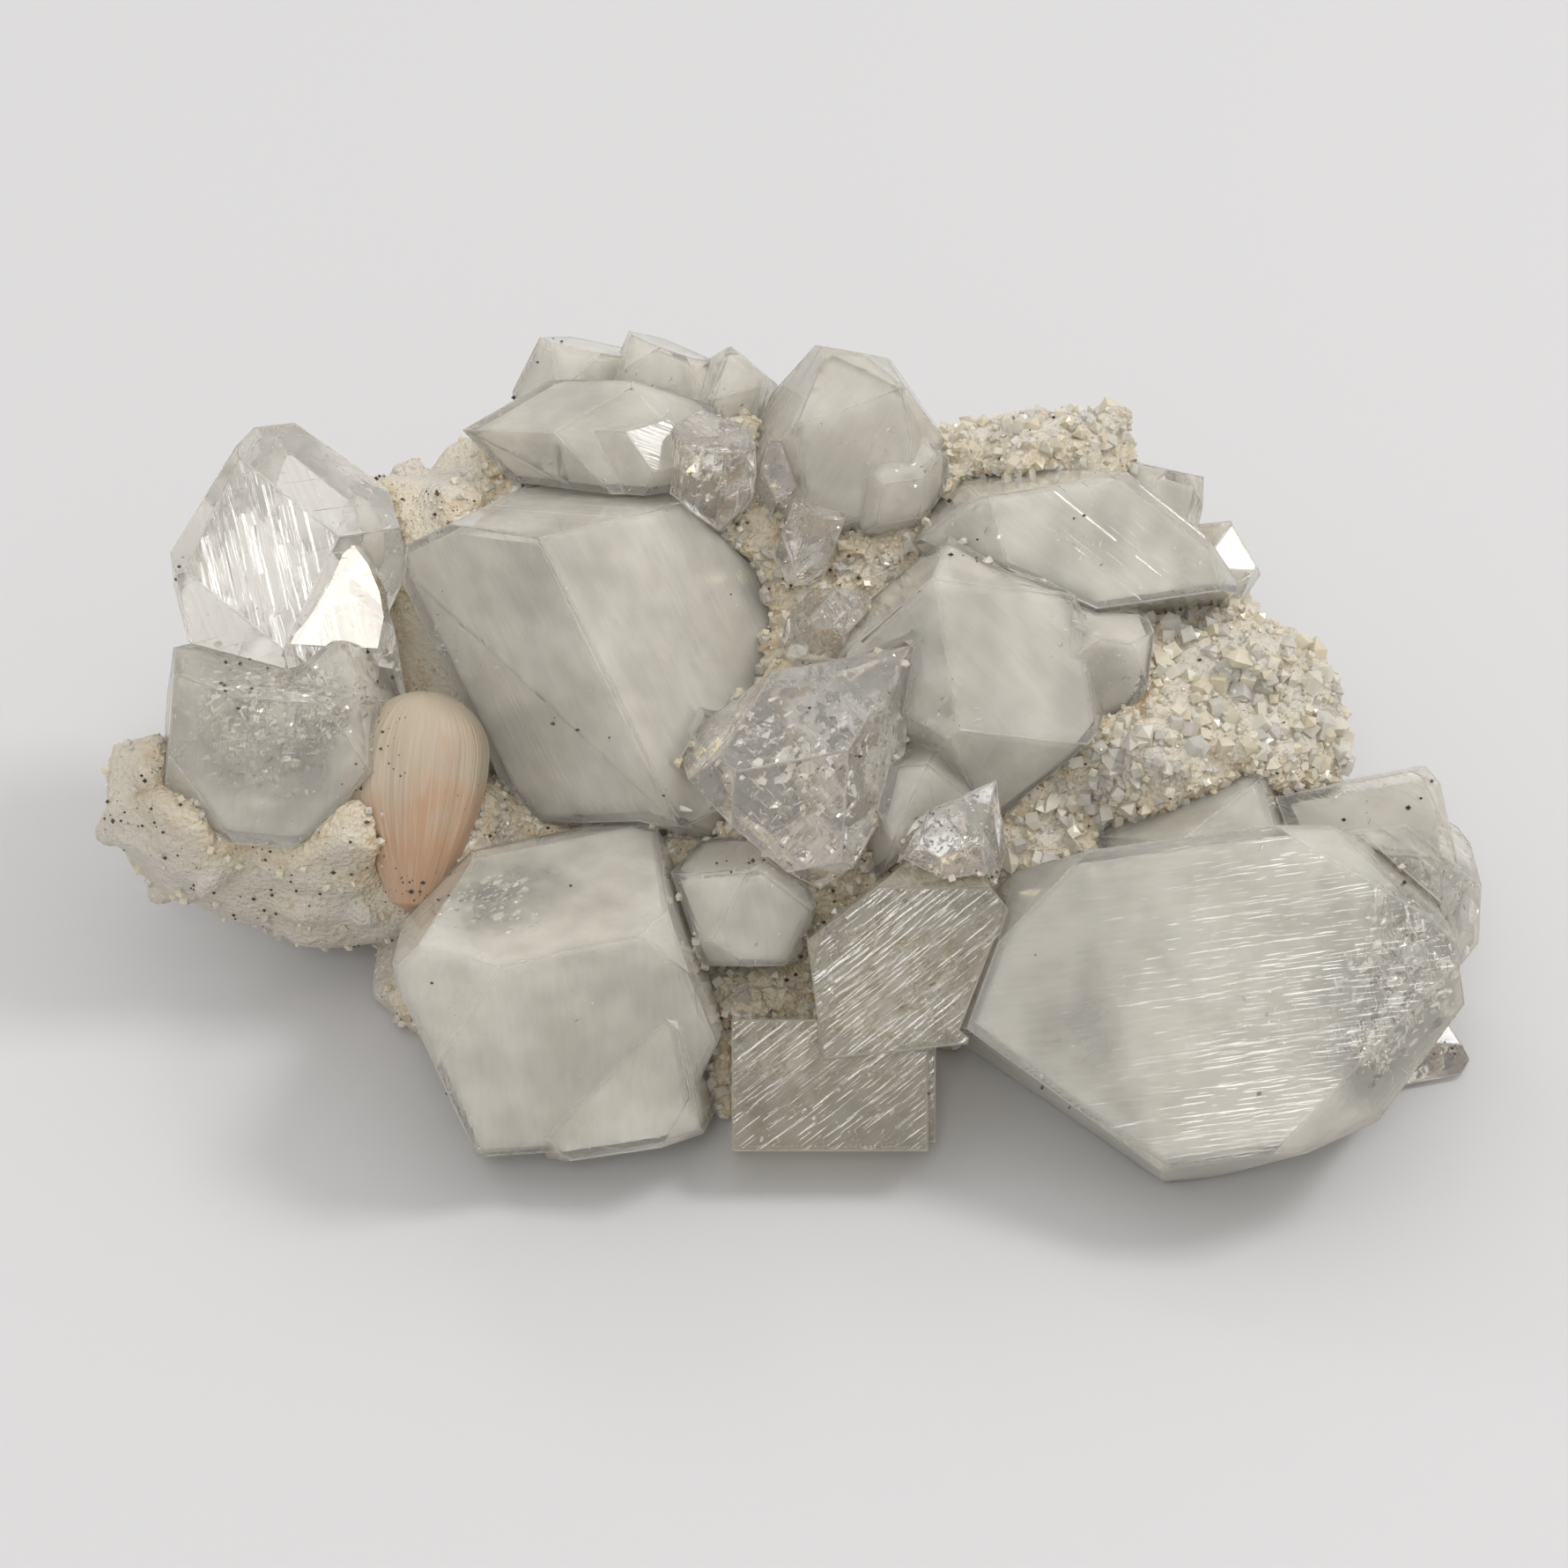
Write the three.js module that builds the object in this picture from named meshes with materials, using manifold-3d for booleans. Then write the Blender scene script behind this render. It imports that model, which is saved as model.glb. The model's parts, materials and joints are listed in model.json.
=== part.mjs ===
// Apophyllite cluster: clear to milky tetragonal crystals and one peach stilbite sheaf on a druzy matrix.
// Units are millimetres, +Z is up, and the cluster rests on the flat broken base of its matrix.
// Everything is laid out in a show frame that leans back from upright: u runs to the right, v up the
// slope of the face that carries the crystals, and w straight out of that face.
import * as THREE from "three";
import { ConvexGeometry } from "three/addons/geometries/ConvexGeometry.js";
import { ImprovedNoise } from "three/addons/math/ImprovedNoise.js";
import { mergeVertices } from "three/addons/utils/BufferGeometryUtils.js";
import Module from "manifold-3d";

const { cos, sin, abs, sqrt, atan2, asin, min, max, round, PI } = Math;
const { degToRad, seededRandom } = THREE.MathUtils;

// Driving dimensions
const SHOW_LEAN = 50; // degrees from level to the face that carries the crystals
const SHOW_HEIGHT = 14.5; // height of the show frame's origin above the rest plane
const SEAM = 0.3; // open seam between neighbours that only touch
const FOOT_CLEARANCE = 0.5; // how far the lowest crystal faces stay above the rest plane
const PYRAMID_SLOPE = 60.4; // degrees between apophyllite's pyramid faces and its base face
const SHEAF_AT = [-25.3, -0.7, 2.8]; // middle of the stilbite sheaf
const SHEAF_HEADING = 86; // where its fanned head points
const SHEAF_LENGTH = 15.4; // from its gathered foot to its fanned head
const SHEAF_WIDTH = 9; // across the fanned head
const SHEAF_FOOT_WIDTH = 2.4; // across the gathered foot
const SHEAF_DEPTH = 0.72; // thickness of the sheaf as a share of its width
const SHEAF_WIDEST = 0.72; // where the sheaf is widest, as a share of its length from the foot
const SHEAF_HEEL = 0.05; // where its foot reaches full width, as a share of its length
const BLADE_COUNT = 11; // bundles of blades round the sheaf
const BLADE_RELIEF = 0.07; // how far each bundle stands out, as a share of the half width
const ROCK_SWELL = { size: 11, height: 3 }; // broad swells of the broken rock
const ROCK_LEDGE = { size: 7, height: 1.6 }; // its stepped ledges
const ROCK_PIT = { size: 3, height: 1.4 }; // and its small pits
const LEDGE_STEPS = 3; // levels of the ledges to either side of the smooth surface
const DRUSE_SEED = 7;
const DRUSE_SIZE = 0.8; // half width of the smallest druse crystal, corner to centre
const DRUSE_LEAN = 1.3; // how far druse crystals lean away from straight out
const DRUSE_LOWEST = 3; // height that the druse stays above
const FAR = 400; // larger than the whole cluster

const COLOURS = {
  apophyllite: { color: 0xdfe2d6, roughness: 0.25, metalness: 0 },
  matrix: { color: 0xcfc4ae, roughness: 0.8, metalness: 0 },
  stilbite: { color: 0xe6c0a2, roughness: 0.55, metalness: 0 },
};

// The apophyllite crystals. Each node lists the individuals that grew into one another: at is a centre
// in the show frame and the other sizes are distances from it, as crystalPlanes explains. The most
// prominent come first, because each crystal stops a seam short of the earlier ones that it meets.
const CRYSTALS = {
  point_crystal: [
    {
      at: [-0.3, 0.4, 7], heading: 48, rise: 8, spin: 15,
      prism: [6, 6, 6, 7], tip: [13, 14], base: [13, 3.4],
    },
  ],
  front_left_crystal: [
    {
      at: [-15.2, -14.4, 7.5], heading: 97, rise: 30, spin: 10,
      prism: [11, 10, 8.6, 9], tip: [26, 30], base: [9.5, 14],
      cuts: [
        [-88, -5, 9], [205, 5, 9.6], [183, 0, 10.9], [19, 5, 9.8],
        [-26, 0, 10.4], [137, 10, 11.2], [100, 10, 10.8],
      ],
    },
    {
      at: [-11.6, -17.6, 7.4], heading: 100, rise: 8, spin: -8,
      prism: [5, 5.6, 7, 8], tip: [18, 18], base: [7, 5.4],
    },
  ],
  big_crystal: [
    {
      at: [29, -14, 7], heading: 8, rise: 8, spin: -12,
      prism: [9.7, 12, 9, 9], tip: [29, 30], base: [16.5, 20],
      cuts: [[233, 5, 12.2], [159, 5, 16], [-68, 0, 10.8], [-36, 5, 13.2], [50, 10, 14.4], [10, 0, 15.6]],
    },
    {
      at: [28.4, -4.5, 3], heading: 20, rise: 15, spin: 25,
      prism: [4.5, 5, 5, 5], tip: [12, 12], base: [6, 6],
    },
  ],
  upper_left_crystal: [
    {
      at: [-37.1, 16.2, -4], heading: 103, spin: 8,
      prism: [6, 10, 7, 9], tip: [15.5, 15.5], base: [8.9, 12],
      cuts: [[148, 0, 4.8], [55, 0, 9.4]],
    },
    {
      at: [-31.6, 11.6, -3.2], heading: 103, spin: 8,
      prism: [3.4, 3.6, 5, 8], tip: [9.5, 12], base: [5, 6],
    },
  ],
  front_pair: [
    {
      at: [7.6, -12.2, 7], heading: 38, prism: [5.8, 6.2, 6, 8], tip: [17, 17], base: [8.3, 8.3],
      cuts: [[-84, 0, 4.9], [188, 0, 6], [-17, 0, 5.4]],
    },
    { at: [3, -20.1, 7], heading: 90, prism: [6.8, 6.3, 5, 6], tip: [20, 20], base: [5, 3.8] },
    { at: [9.3, -20.3, 5.5], heading: 90, prism: [0.6, 0.6, 4, 4], tip: [20, 20], base: [4, 3.2] },
  ],
  centre_crystal: [
    {
      at: [-12, 8.5, 1], heading: -64, rise: -5, spin: 42,
      prism: [5.4, 8, 6.8, 14], tip: [30, 30], base: [17, 14],
      cuts: [[90, 15, 10.8], [46, 5, 11.4], [225, 0, 11], [188, 0, 14.6], [262, 8, 11], [-24, 30, 11.4]],
    },
  ],
  lower_left_crystal: [
    {
      at: [-36, 2.8, 0.4], heading: 82, rise: 20, spin: 10,
      prism: [7, 7, 6.5, 8], tip: [18, 15], base: [6.2, 4.4],
      cuts: [[-35, 0, 7.5]],
    },
    {
      at: [-31.4, 6.2, 1], heading: 30, rise: 25, spin: 20,
      prism: [3.6, 3.6, 3.6, 5], tip: [8, 9], base: [4, 5],
    },
  ],
  right_top_crystal: [
    {
      at: [19.5, 17, -2], heading: -38, rise: -5, spin: -15,
      prism: [4.9, 6.5, 6, 7], tip: [20, 18], base: [12, 12],
      cuts: [[98, 10, 5.2], [131, 10, 7.7], [248, 10, 4.6], [-80, 5, 5.2], [-14, 0, 12]],
    },
    {
      at: [17, 15.6, -1.6], heading: -38, rise: -5, spin: -15,
      prism: [3.4, 4, 6, 7], tip: [12, 10], base: [7, 5.6],
    },
  ],
  top_crystal: [
    {
      at: [4.3, 25.2, -7], heading: 58, rise: 15, spin: 15,
      prism: [5.3, 5.4, 6, 6], tip: [13.6, 14], base: [6.2, 9],
      cuts: [[80, 5, 5.9], [134, 0, 6.2], [35, 5, 5.4]],
    },
    {
      at: [7.6, 21.4, -4], heading: 45, rise: 10, spin: 20,
      prism: [2.6, 2.6, 2.8, 4], tip: [5.6, 6], base: [4, 4],
    },
  ],
  right_middle_crystal: [
    {
      at: [13.6, 7.4, 2.6], heading: 135, rise: 10, spin: 20,
      prism: [7.2, 6.6, 6.6, 8], tip: [17, 15.5], base: [9, 6.6],
    },
    {
      at: [20.6, 9.4, 3], heading: 70, rise: 30, spin: 20,
      prism: [3.4, 3.4, 3.4, 5], tip: [9, 9], base: [3.4, 5],
    },
    {
      at: [8.5, -1, 6], heading: 100, rise: 20, spin: 25,
      prism: [3.6, 3.6, 3.2, 5], tip: [8, 9], base: [4, 5],
    },
  ],
  right_end_crystal: [
    {
      at: [40, -3, 1], heading: -27, rise: 5, spin: 10, prism: [6, 5.5, 5, 6], tip: [15, 15], base: [6, 9],
      cuts: [[101, 0, 4], [11, 0, 4.9]],
    },
    {
      at: [42.2, -8.5, 2], heading: -40, rise: 5, spin: 20,
      prism: [6, 6, 5, 6], tip: [13, 15], base: [5, 9],
      cuts: [[-3, 0, 4.7]],
    },
  ],
  front_small_crystal: [
    {
      at: [-3.4, -7.4, 8], heading: 100, rise: 20, spin: 20,
      prism: [4.3, 4.3, 4, 6], tip: [9, 10], base: [3.5, 6],
      cuts: [[-90, 0, 4.2]],
    },
  ],
  top_left_crystal: [
    {
      at: [-14.7, 24.4, -7], heading: 172, rise: 5, spin: 5,
      prism: [4.5, 4.5, 5, 5], tip: [8.4, 14], base: [8.4, 9],
    },
    {
      at: [-10.4, 22.6, -6.2], heading: 160, rise: 12, spin: 24,
      prism: [3.6, 3.6, 5, 5], tip: [9, 9], base: [6, 5],
    },
  ],
  back_left_crystal: [
    {
      at: [-14.4, 28.7, -14], heading: 80, rise: 10, spin: 25,
      prism: [4, 4, 4, 5], tip: [10, 12], base: [3.5, 8],
    },
    {
      at: [-9.5, 29.2, -12], heading: 70, rise: 10, spin: 10,
      prism: [3, 3, 3, 4], tip: [8, 9], base: [3, 7],
    },
    {
      at: [-4.6, 28, -12], heading: 50, rise: 5, spin: 30,
      prism: [2.6, 2.6, 3, 4], tip: [6.4, 8], base: [3.4, 6],
    },
  ],
  back_right_crystal: [
    {
      at: [26.2, 19.6, -8], heading: 78, rise: 5, spin: 10,
      prism: [2.5, 2.3, 3, 4], tip: [8, 9], base: [3.4, 6],
    },
    {
      at: [29.4, 15.6, -9], heading: 30, rise: 5, spin: 35,
      prism: [2.6, 2.6, 3, 4], tip: [7, 8], base: [3.6, 5],
    },
  ],
  rear_crystal: [
    {
      at: [5, 18.5, -19], heading: 60, rise: -52, spin: 20,
      prism: [4.4, 4.2, 4.4, 4.6], tip: [11.5, 14], base: [6, 8],
    },
    {
      at: [11.5, 15.5, -20.5], heading: 20, rise: -50, spin: 50,
      prism: [3.2, 3, 3.2, 3.4], tip: [8.6, 12], base: [5, 7],
    },
  ],
  rear_left_crystal: [
    {
      at: [-21, 14.5, -18], heading: 130, rise: -50, spin: 10,
      prism: [4, 3.8, 4, 4], tip: [10.4, 14], base: [5.6, 8],
    },
    {
      at: [-27.5, 11.5, -15], heading: 160, rise: -35, spin: 40,
      prism: [3, 3, 2.8, 3], tip: [8, 12], base: [4.4, 7],
    },
  ],
  clear_crystal_1: [
    {
      at: [-5.5, 22.6, -2], heading: 80, rise: 30, spin: 20,
      prism: [2.6, 2.6, 2.6, 4], tip: [7.5, 7.5], base: [2.6, 5],
    },
  ],
  clear_crystal_2: [
    {
      at: [-0.3, 23, -3], heading: 75, rise: 10, spin: 5,
      prism: [1.6, 1.6, 1.6, 3], tip: [4.6, 4.6], base: [1.6, 3],
    },
  ],
  clear_crystal_3: [
    {
      at: [1.6, 18.1, -2], heading: 70, rise: 20,
      prism: [1.9, 1.9, 1.9, 4], tip: [5.2, 5], base: [1.9, 4],
    },
  ],
  clear_crystal_4: [
    {
      at: [3, 11.6, 1], heading: 30, rise: 25, spin: 30,
      prism: [2.3, 2.3, 2.3, 4], tip: [5, 5], base: [3, 4],
    },
  ],
  clear_crystal_5: [
    {
      at: [11.2, -3.8, 10], heading: 60, rise: 10, spin: 20,
      prism: [3.2, 3.2, 3, 5], tip: [5.5, 6.5], base: [5.5, 3],
    },
  ],
  clear_crystal_6: [
    {
      at: [39.4, -22.2, 2], heading: 60, spin: 20,
      prism: [2.1, 2.1, 2.1, 3], tip: [5.6, 5.6], base: [2.4, 3],
    },
    {
      at: [43.9, -18, 0], heading: 30, spin: 30,
      prism: [2.4, 2.4, 2.4, 3], tip: [6.2, 6.6], base: [2.4, 3],
    },
  ],
};

// The lumps that the matrix is grown from: centre and radii along u, v and w, and how many small druse
// crystals stand on each.
const LUMPS = [
  { at: [0, 5.5, -13.5], radii: [36, 22, 12.5], detail: 4, druse: 14 },
  { at: [5, -4.8, -10.6], radii: [32, 16, 16], detail: 3, druse: 6 },
  { at: [-40.3, -1.4, -0.8], radii: [7, 5.6, 6.6], detail: 2, druse: 11 },
  { at: [-30, -3.4, -2.8], radii: [12.5, 6.8, 7.6], detail: 3, druse: 11 },
  { at: [-15.5, -14, -6], radii: [13, 11, 8], detail: 2, druse: 3 },
  { at: [25.6, 2.4, -5.4], radii: [14, 10.5, 9.4], detail: 3, druse: 21 },
  { at: [16.4, 21.6, -11.2], radii: [9.6, 5.2, 6], detail: 2, druse: 14 },
  { at: [-15, 20.5, -12.5], radii: [12, 6, 7], detail: 2, druse: 10 },
  { at: [-25.5, 18, -9], radii: [6.5, 4.4, 6], detail: 2, druse: 10 },
  { at: [30, -13, -3], radii: [15, 10, 7], detail: 2, druse: 3 },
  { at: [-2.2, -15.8, 0.6], radii: [5.4, 5.6, 7.6], detail: 1, druse: 3 },
];

const wasm = await Module();
wasm.setup();

const showFrame = new THREE.Matrix4()
  .makeTranslation(0, 0, SHOW_HEIGHT)
  .multiply(new THREE.Matrix4().makeRotationX(degToRad(SHOW_LEAN)));
const straightDown = new THREE.Vector3(0, 0, -1).transformDirection(showFrame.clone().invert());

// Height of a point of the show frame above the rest plane.
function heightOf(point) {
  return point.clone().applyMatrix4(showFrame).z;
}

// A closed three.js geometry as a solid, moved out of the frame that it was drawn in.
function solidFrom(geometry, frame = showFrame) {
  const bare = geometry.clone().applyMatrix4(frame);
  bare.deleteAttribute("normal");
  bare.deleteAttribute("uv");
  const merged = mergeVertices(bare, 1e-4);
  return new wasm.Manifold(
    new wasm.Mesh({
      numProp: 3,
      vertProperties: merged.attributes.position.array,
      triVerts: new Uint32Array(merged.index.array),
    }),
  );
}

// All of the solids joined into one.
function joined(solids) {
  return solids.reduce((whole, solid) => whole.add(solid));
}

// The largest of the separate bodies that a solid falls into.
function largestBody(solid) {
  return solid.decompose().reduce((best, body) => (body.volume() > best.volume() ? body : best));
}

// Crystals ---------------------------------------------------------------------------------------

// The unit direction at a heading in the show face, from +u towards +v, and a rise out of it.
function direction(heading, rise) {
  const h = degToRad(heading);
  const r = degToRad(rise);
  return new THREE.Vector3(cos(h) * cos(r), sin(h) * cos(r), sin(r));
}

// Turns crystal axes into the show frame: c, the long axis, is local x; z faces out at no spin.
function crystalTurn({ heading, rise = 0, spin = 0 }) {
  return new THREE.Matrix4()
    .makeRotationZ(degToRad(heading))
    .multiply(new THREE.Matrix4().makeRotationY(degToRad(-rise)))
    .multiply(new THREE.Matrix4().makeRotationX(degToRad(spin)));
}

// The planes that bound one crystal, each { normal, distance } from its centre in the show frame.
// prism: distances of the side faces y+, y-, z+, z-. tip and base: where the pyramids' points and
// the flat ends lie along c, each [forward, backward]. cuts: broken faces as [heading, rise, distance].
function crystalPlanes(crystal) {
  const { prism, tip, base, cuts = [] } = crystal;
  const turn = crystalTurn(crystal);
  const planes = [];
  const add = (x, y, z, distance) =>
    planes.push({ normal: new THREE.Vector3(x, y, z).transformDirection(turn), distance });
  const steep = degToRad(PYRAMID_SLOPE);
  const side = sin(steep) / sqrt(2);
  add(0, 1, 0, prism[0]);
  add(0, -1, 0, prism[1]);
  add(0, 0, 1, prism[2]);
  add(0, 0, -1, prism[3]);
  for (const [end, way] of [[0, 1], [1, -1]]) {
    add(way, 0, 0, base[end]);
    for (const y of [-side, side]) {
      for (const z of [-side, side]) add(way * cos(steep), y, z, tip[end] * cos(steep));
    }
  }
  for (const [heading, rise, distance] of cuts) {
    planes.push({ normal: direction(heading, rise), distance });
  }
  const foot = heightOf(new THREE.Vector3(...crystal.at)) - FOOT_CLEARANCE;
  planes.push({ normal: straightDown, distance: foot });
  return planes;
}

// The corners of the convex body inside all of the planes.
function cornersOf(planes) {
  const corners = [];
  const meet = new THREE.Matrix3();
  planes.forEach((a, i) => {
    planes.slice(i + 1).forEach((b, j) => {
      planes.slice(i + j + 2).forEach((c) => {
        meet.set(...a.normal, ...b.normal, ...c.normal);
        if (abs(meet.determinant()) < 1e-4) return;
        const corner = new THREE.Vector3(a.distance, b.distance, c.distance).applyMatrix3(meet.invert());
        const outside = planes.some((p) => p.normal.dot(corner) > p.distance + 1e-4);
        if (!outside && !corners.some((known) => known.distanceTo(corner) < 0.02)) corners.push(corner);
      });
    });
  });
  return corners;
}

// One crystal as a solid, with every face moved out by grow.
function crystalSolid(crystal, grow = 0) {
  const planes = crystalPlanes(crystal).map((p) => ({ normal: p.normal, distance: p.distance + grow }));
  return solidFrom(new ConvexGeometry(cornersOf(planes)).translate(...crystal.at));
}

// Whether a point of the show frame lies inside a crystal.
function insideCrystal(point, crystal) {
  const local = point.clone().sub(new THREE.Vector3(...crystal.at));
  return crystalPlanes(crystal).every((p) => p.normal.dot(local) < p.distance);
}

// Stilbite sheaf ---------------------------------------------------------------------------------

// Half width of the sheaf from its foot, at 0, to its head, at 1.
function sheafReach(along) {
  const spread = sin((PI / 2) * min(1, along / SHEAF_WIDEST));
  const fan = (SHEAF_FOOT_WIDTH + (SHEAF_WIDTH - SHEAF_FOOT_WIDTH) * spread) / 2;
  const crown = sqrt(max(0, 1 - max(0, (along - SHEAF_WIDEST) / (1 - SHEAF_WIDEST)) ** 2));
  return fan * crown * min(1, along / SHEAF_HEEL);
}

// A fan of blades gathered at the foot, as a closed body that is ridged along its blades.
function sheafSolid(grow = 0) {
  const geometry = new THREE.SphereGeometry(1, 2 * BLADE_COUNT, 9);
  const positions = geometry.attributes.position;
  for (let i = 0; i < positions.count; i++) {
    const y = positions.getY(i);
    const angle = atan2(positions.getZ(i), positions.getX(i));
    const along = asin(max(-1, min(1, y))) / PI + 0.5;
    const ridge = 1 + BLADE_RELIEF * cos(BLADE_COUNT * angle) * min(1, 4 * along * (1 - along));
    const reach = sheafReach(along) * ridge + grow * min(1, 12 * along * (1 - along));
    const length = (along - 0.5) * (SHEAF_LENGTH + 2 * grow);
    positions.setXYZ(i, reach * cos(angle), length, (reach * SHEAF_DEPTH + 0.2 * grow) * sin(angle));
  }
  geometry.rotateZ(degToRad(SHEAF_HEADING - 90));
  geometry.translate(...SHEAF_AT);
  return solidFrom(geometry);
}

// Matrix -----------------------------------------------------------------------------------------

const noise = new ImprovedNoise();

// Smooth noise of one feature size at a point; offset picks a pattern of its own.
function noiseAt(p, size, offset) {
  return noise.noise(p.x / size + offset, p.y / size, p.z / size);
}

// How far the rock stands out of its smooth lump at a point: broad swells, ledges and small pits.
function rockRelief(p) {
  const swell = noiseAt(p, ROCK_SWELL.size, 7);
  const ledge = round(LEDGE_STEPS * noiseAt(p, ROCK_LEDGE.size, 31)) / LEDGE_STEPS;
  const pit = noiseAt(p, ROCK_PIT.size, 53);
  return ROCK_SWELL.height * swell + ROCK_LEDGE.height * ledge + ROCK_PIT.height * pit;
}

// The surface point of a lump in one direction, relief included.
function lumpPoint(lump, way) {
  const smooth = new THREE.Vector3(...lump.radii).multiply(way);
  const rough = smooth.clone().add(new THREE.Vector3(...lump.at));
  return rough.addScaledVector(smooth.normalize(), rockRelief(rough));
}

// One lump of rock.
function lumpSolid(lump) {
  const geometry = new THREE.IcosahedronGeometry(1, lump.detail);
  const positions = geometry.attributes.position;
  const way = new THREE.Vector3();
  for (let i = 0; i < positions.count; i++) {
    way.fromBufferAttribute(positions, i);
    positions.setXYZ(i, ...lumpPoint(lump, way));
  }
  return solidFrom(geometry);
}

// Whether a point lies well inside a lump, where nothing on it would show.
function insideLump(point, lump) {
  const scaled = point.clone().sub(new THREE.Vector3(...lump.at)).divide(new THREE.Vector3(...lump.radii));
  return scaled.length() < 0.9;
}

// One druse crystal: a square prism under a four-sided point, standing the way that its axis faces.
function druseCrystal(place, axis, size, spin) {
  const corners = [new THREE.Vector3(0, 1.6 * size, 0)];
  for (let side = 0; side < 4; side++) {
    const angle = spin + (side * PI) / 2;
    const corner = new THREE.Vector3(size * cos(angle), 0.5 * size, size * sin(angle));
    corners.push(corner, corner.clone().setY(-2 * size));
  }
  const turn = new THREE.Quaternion().setFromUnitVectors(new THREE.Vector3(0, 1, 0), axis);
  return solidFrom(new ConvexGeometry(corners).applyQuaternion(turn).translate(...place));
}

// The druse on one lump, spread evenly over it and leaning at random, where nothing covers it.
function druseOn(lump) {
  const goldenAngle = PI * (3 - sqrt(5));
  const individuals = Object.values(CRYSTALS).flat();
  const solids = [];
  for (let i = 0; i < lump.druse; i++) {
    const level = 1 - (2 * (i + 0.5)) / lump.druse;
    const ring = sqrt(1 - level * level);
    const way = new THREE.Vector3(ring * cos(i * goldenAngle), ring * sin(i * goldenAngle), level);
    const place = lumpPoint(lump, way);
    const size = DRUSE_SIZE * (1 + seededRandom() ** 2);
    const lean = new THREE.Vector3(seededRandom() - 0.5, seededRandom() - 0.5, seededRandom() - 0.5);
    const facing = way.divide(new THREE.Vector3(...lump.radii)).normalize();
    const axis = facing.addScaledVector(lean, DRUSE_LEAN).normalize();
    const spin = (seededRandom() * PI) / 2;
    const hidden = LUMPS.some((other) => other !== lump && insideLump(place, other));
    const covered = individuals.some((crystal) => insideCrystal(place, crystal));
    const low = heightOf(place) < DRUSE_LOWEST;
    if (!hidden && !covered && !low) solids.push(druseCrystal(place, axis, size, spin));
  }
  return solids;
}

// Assembly ---------------------------------------------------------------------------------------

const nodes = new Map();
const grownSolids = [];

// Adds a solid, stopped a seam short of the ones before it. grown is the same solid with that seam.
function addNode(name, solid, grown) {
  nodes.set(name, largestBody(grownSolids.reduce((rest, earlier) => rest.subtract(earlier), solid)));
  grownSolids.push(grown);
}

for (const [name, individuals] of Object.entries(CRYSTALS)) {
  const whole = joined(individuals.map((crystal) => crystalSolid(crystal)));
  addNode(name, whole, joined(individuals.map((crystal) => crystalSolid(crystal, SEAM))));
}
addNode("stilbite_sheaf", sheafSolid(), sheafSolid(SEAM));

seededRandom(DRUSE_SEED);
const rock = joined(LUMPS.map(lumpSolid));
const druse = LUMPS.flatMap(druseOn);
const ground = new THREE.BoxGeometry(FAR, FAR, FAR).translate(0, 0, -FAR / 2);
const buried = joined([...grownSolids, solidFrom(ground, new THREE.Matrix4())]);
nodes.set("matrix", largestBody(joined([rock, ...druse]).subtract(buried)));

// One named mesh of the cluster.
function meshOf(name, solid) {
  const { vertProperties, triVerts } = solid.getMesh();
  const geometry = new THREE.BufferGeometry();
  geometry.setAttribute("position", new THREE.BufferAttribute(vertProperties, 3));
  geometry.setIndex(new THREE.BufferAttribute(triVerts, 1));
  geometry.computeVertexNormals();
  const stuff = COLOURS[{ matrix: "matrix", stilbite_sheaf: "stilbite" }[name] ?? "apophyllite"];
  const mesh = new THREE.Mesh(geometry, new THREE.MeshStandardMaterial({ ...stuff, flatShading: true }));
  mesh.name = name;
  return mesh;
}

const cluster = new THREE.Group();
for (const [name, solid] of nodes) cluster.add(meshOf(name, solid));
const extent = new THREE.Box3().setFromObject(cluster);
const middle = extent.getCenter(new THREE.Vector3());
cluster.position.set(-middle.x, -middle.y, -extent.min.z);

export default cluster;
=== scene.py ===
"""Apophyllite cluster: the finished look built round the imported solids.

Clear to milky tetragonal crystals and one peach stilbite sheaf stand on a druzy matrix. Each packed
crystal is copied, cut with the growth lines of its own faces and dressed as a glassy shell, with milky
zones and cracks inside it. The matrix is remeshed into rough rock, and small druse crystals and dark
grains cover it. Places are given in the show frame, in millimetres, and meshes are made in metres.
"""

import json
import logging
import math
import random
from collections.abc import Iterable, Sequence
from dataclasses import dataclass, field
from enum import Enum

import bmesh
import bpy
import numpy as np
from mathutils import Matrix, Vector, noise
from mathutils.bvhtree import BVHTree

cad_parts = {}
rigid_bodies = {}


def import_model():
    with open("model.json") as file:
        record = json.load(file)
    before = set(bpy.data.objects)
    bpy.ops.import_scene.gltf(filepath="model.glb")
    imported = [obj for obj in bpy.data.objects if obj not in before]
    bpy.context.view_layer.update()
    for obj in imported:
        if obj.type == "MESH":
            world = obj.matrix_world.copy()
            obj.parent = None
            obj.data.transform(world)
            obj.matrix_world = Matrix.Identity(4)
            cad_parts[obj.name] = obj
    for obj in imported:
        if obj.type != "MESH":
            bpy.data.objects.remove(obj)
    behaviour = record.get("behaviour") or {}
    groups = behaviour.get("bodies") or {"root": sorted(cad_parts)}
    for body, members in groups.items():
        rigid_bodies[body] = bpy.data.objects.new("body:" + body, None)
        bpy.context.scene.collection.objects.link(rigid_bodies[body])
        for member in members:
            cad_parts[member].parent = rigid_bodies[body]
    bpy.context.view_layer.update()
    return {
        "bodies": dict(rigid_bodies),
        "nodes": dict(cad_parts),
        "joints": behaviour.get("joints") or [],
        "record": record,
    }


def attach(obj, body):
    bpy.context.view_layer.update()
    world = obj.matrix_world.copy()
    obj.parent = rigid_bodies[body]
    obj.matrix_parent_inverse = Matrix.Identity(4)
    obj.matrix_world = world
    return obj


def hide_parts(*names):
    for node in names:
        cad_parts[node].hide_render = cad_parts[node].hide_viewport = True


LOG = logging.getLogger("apophyllite_cluster")

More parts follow.
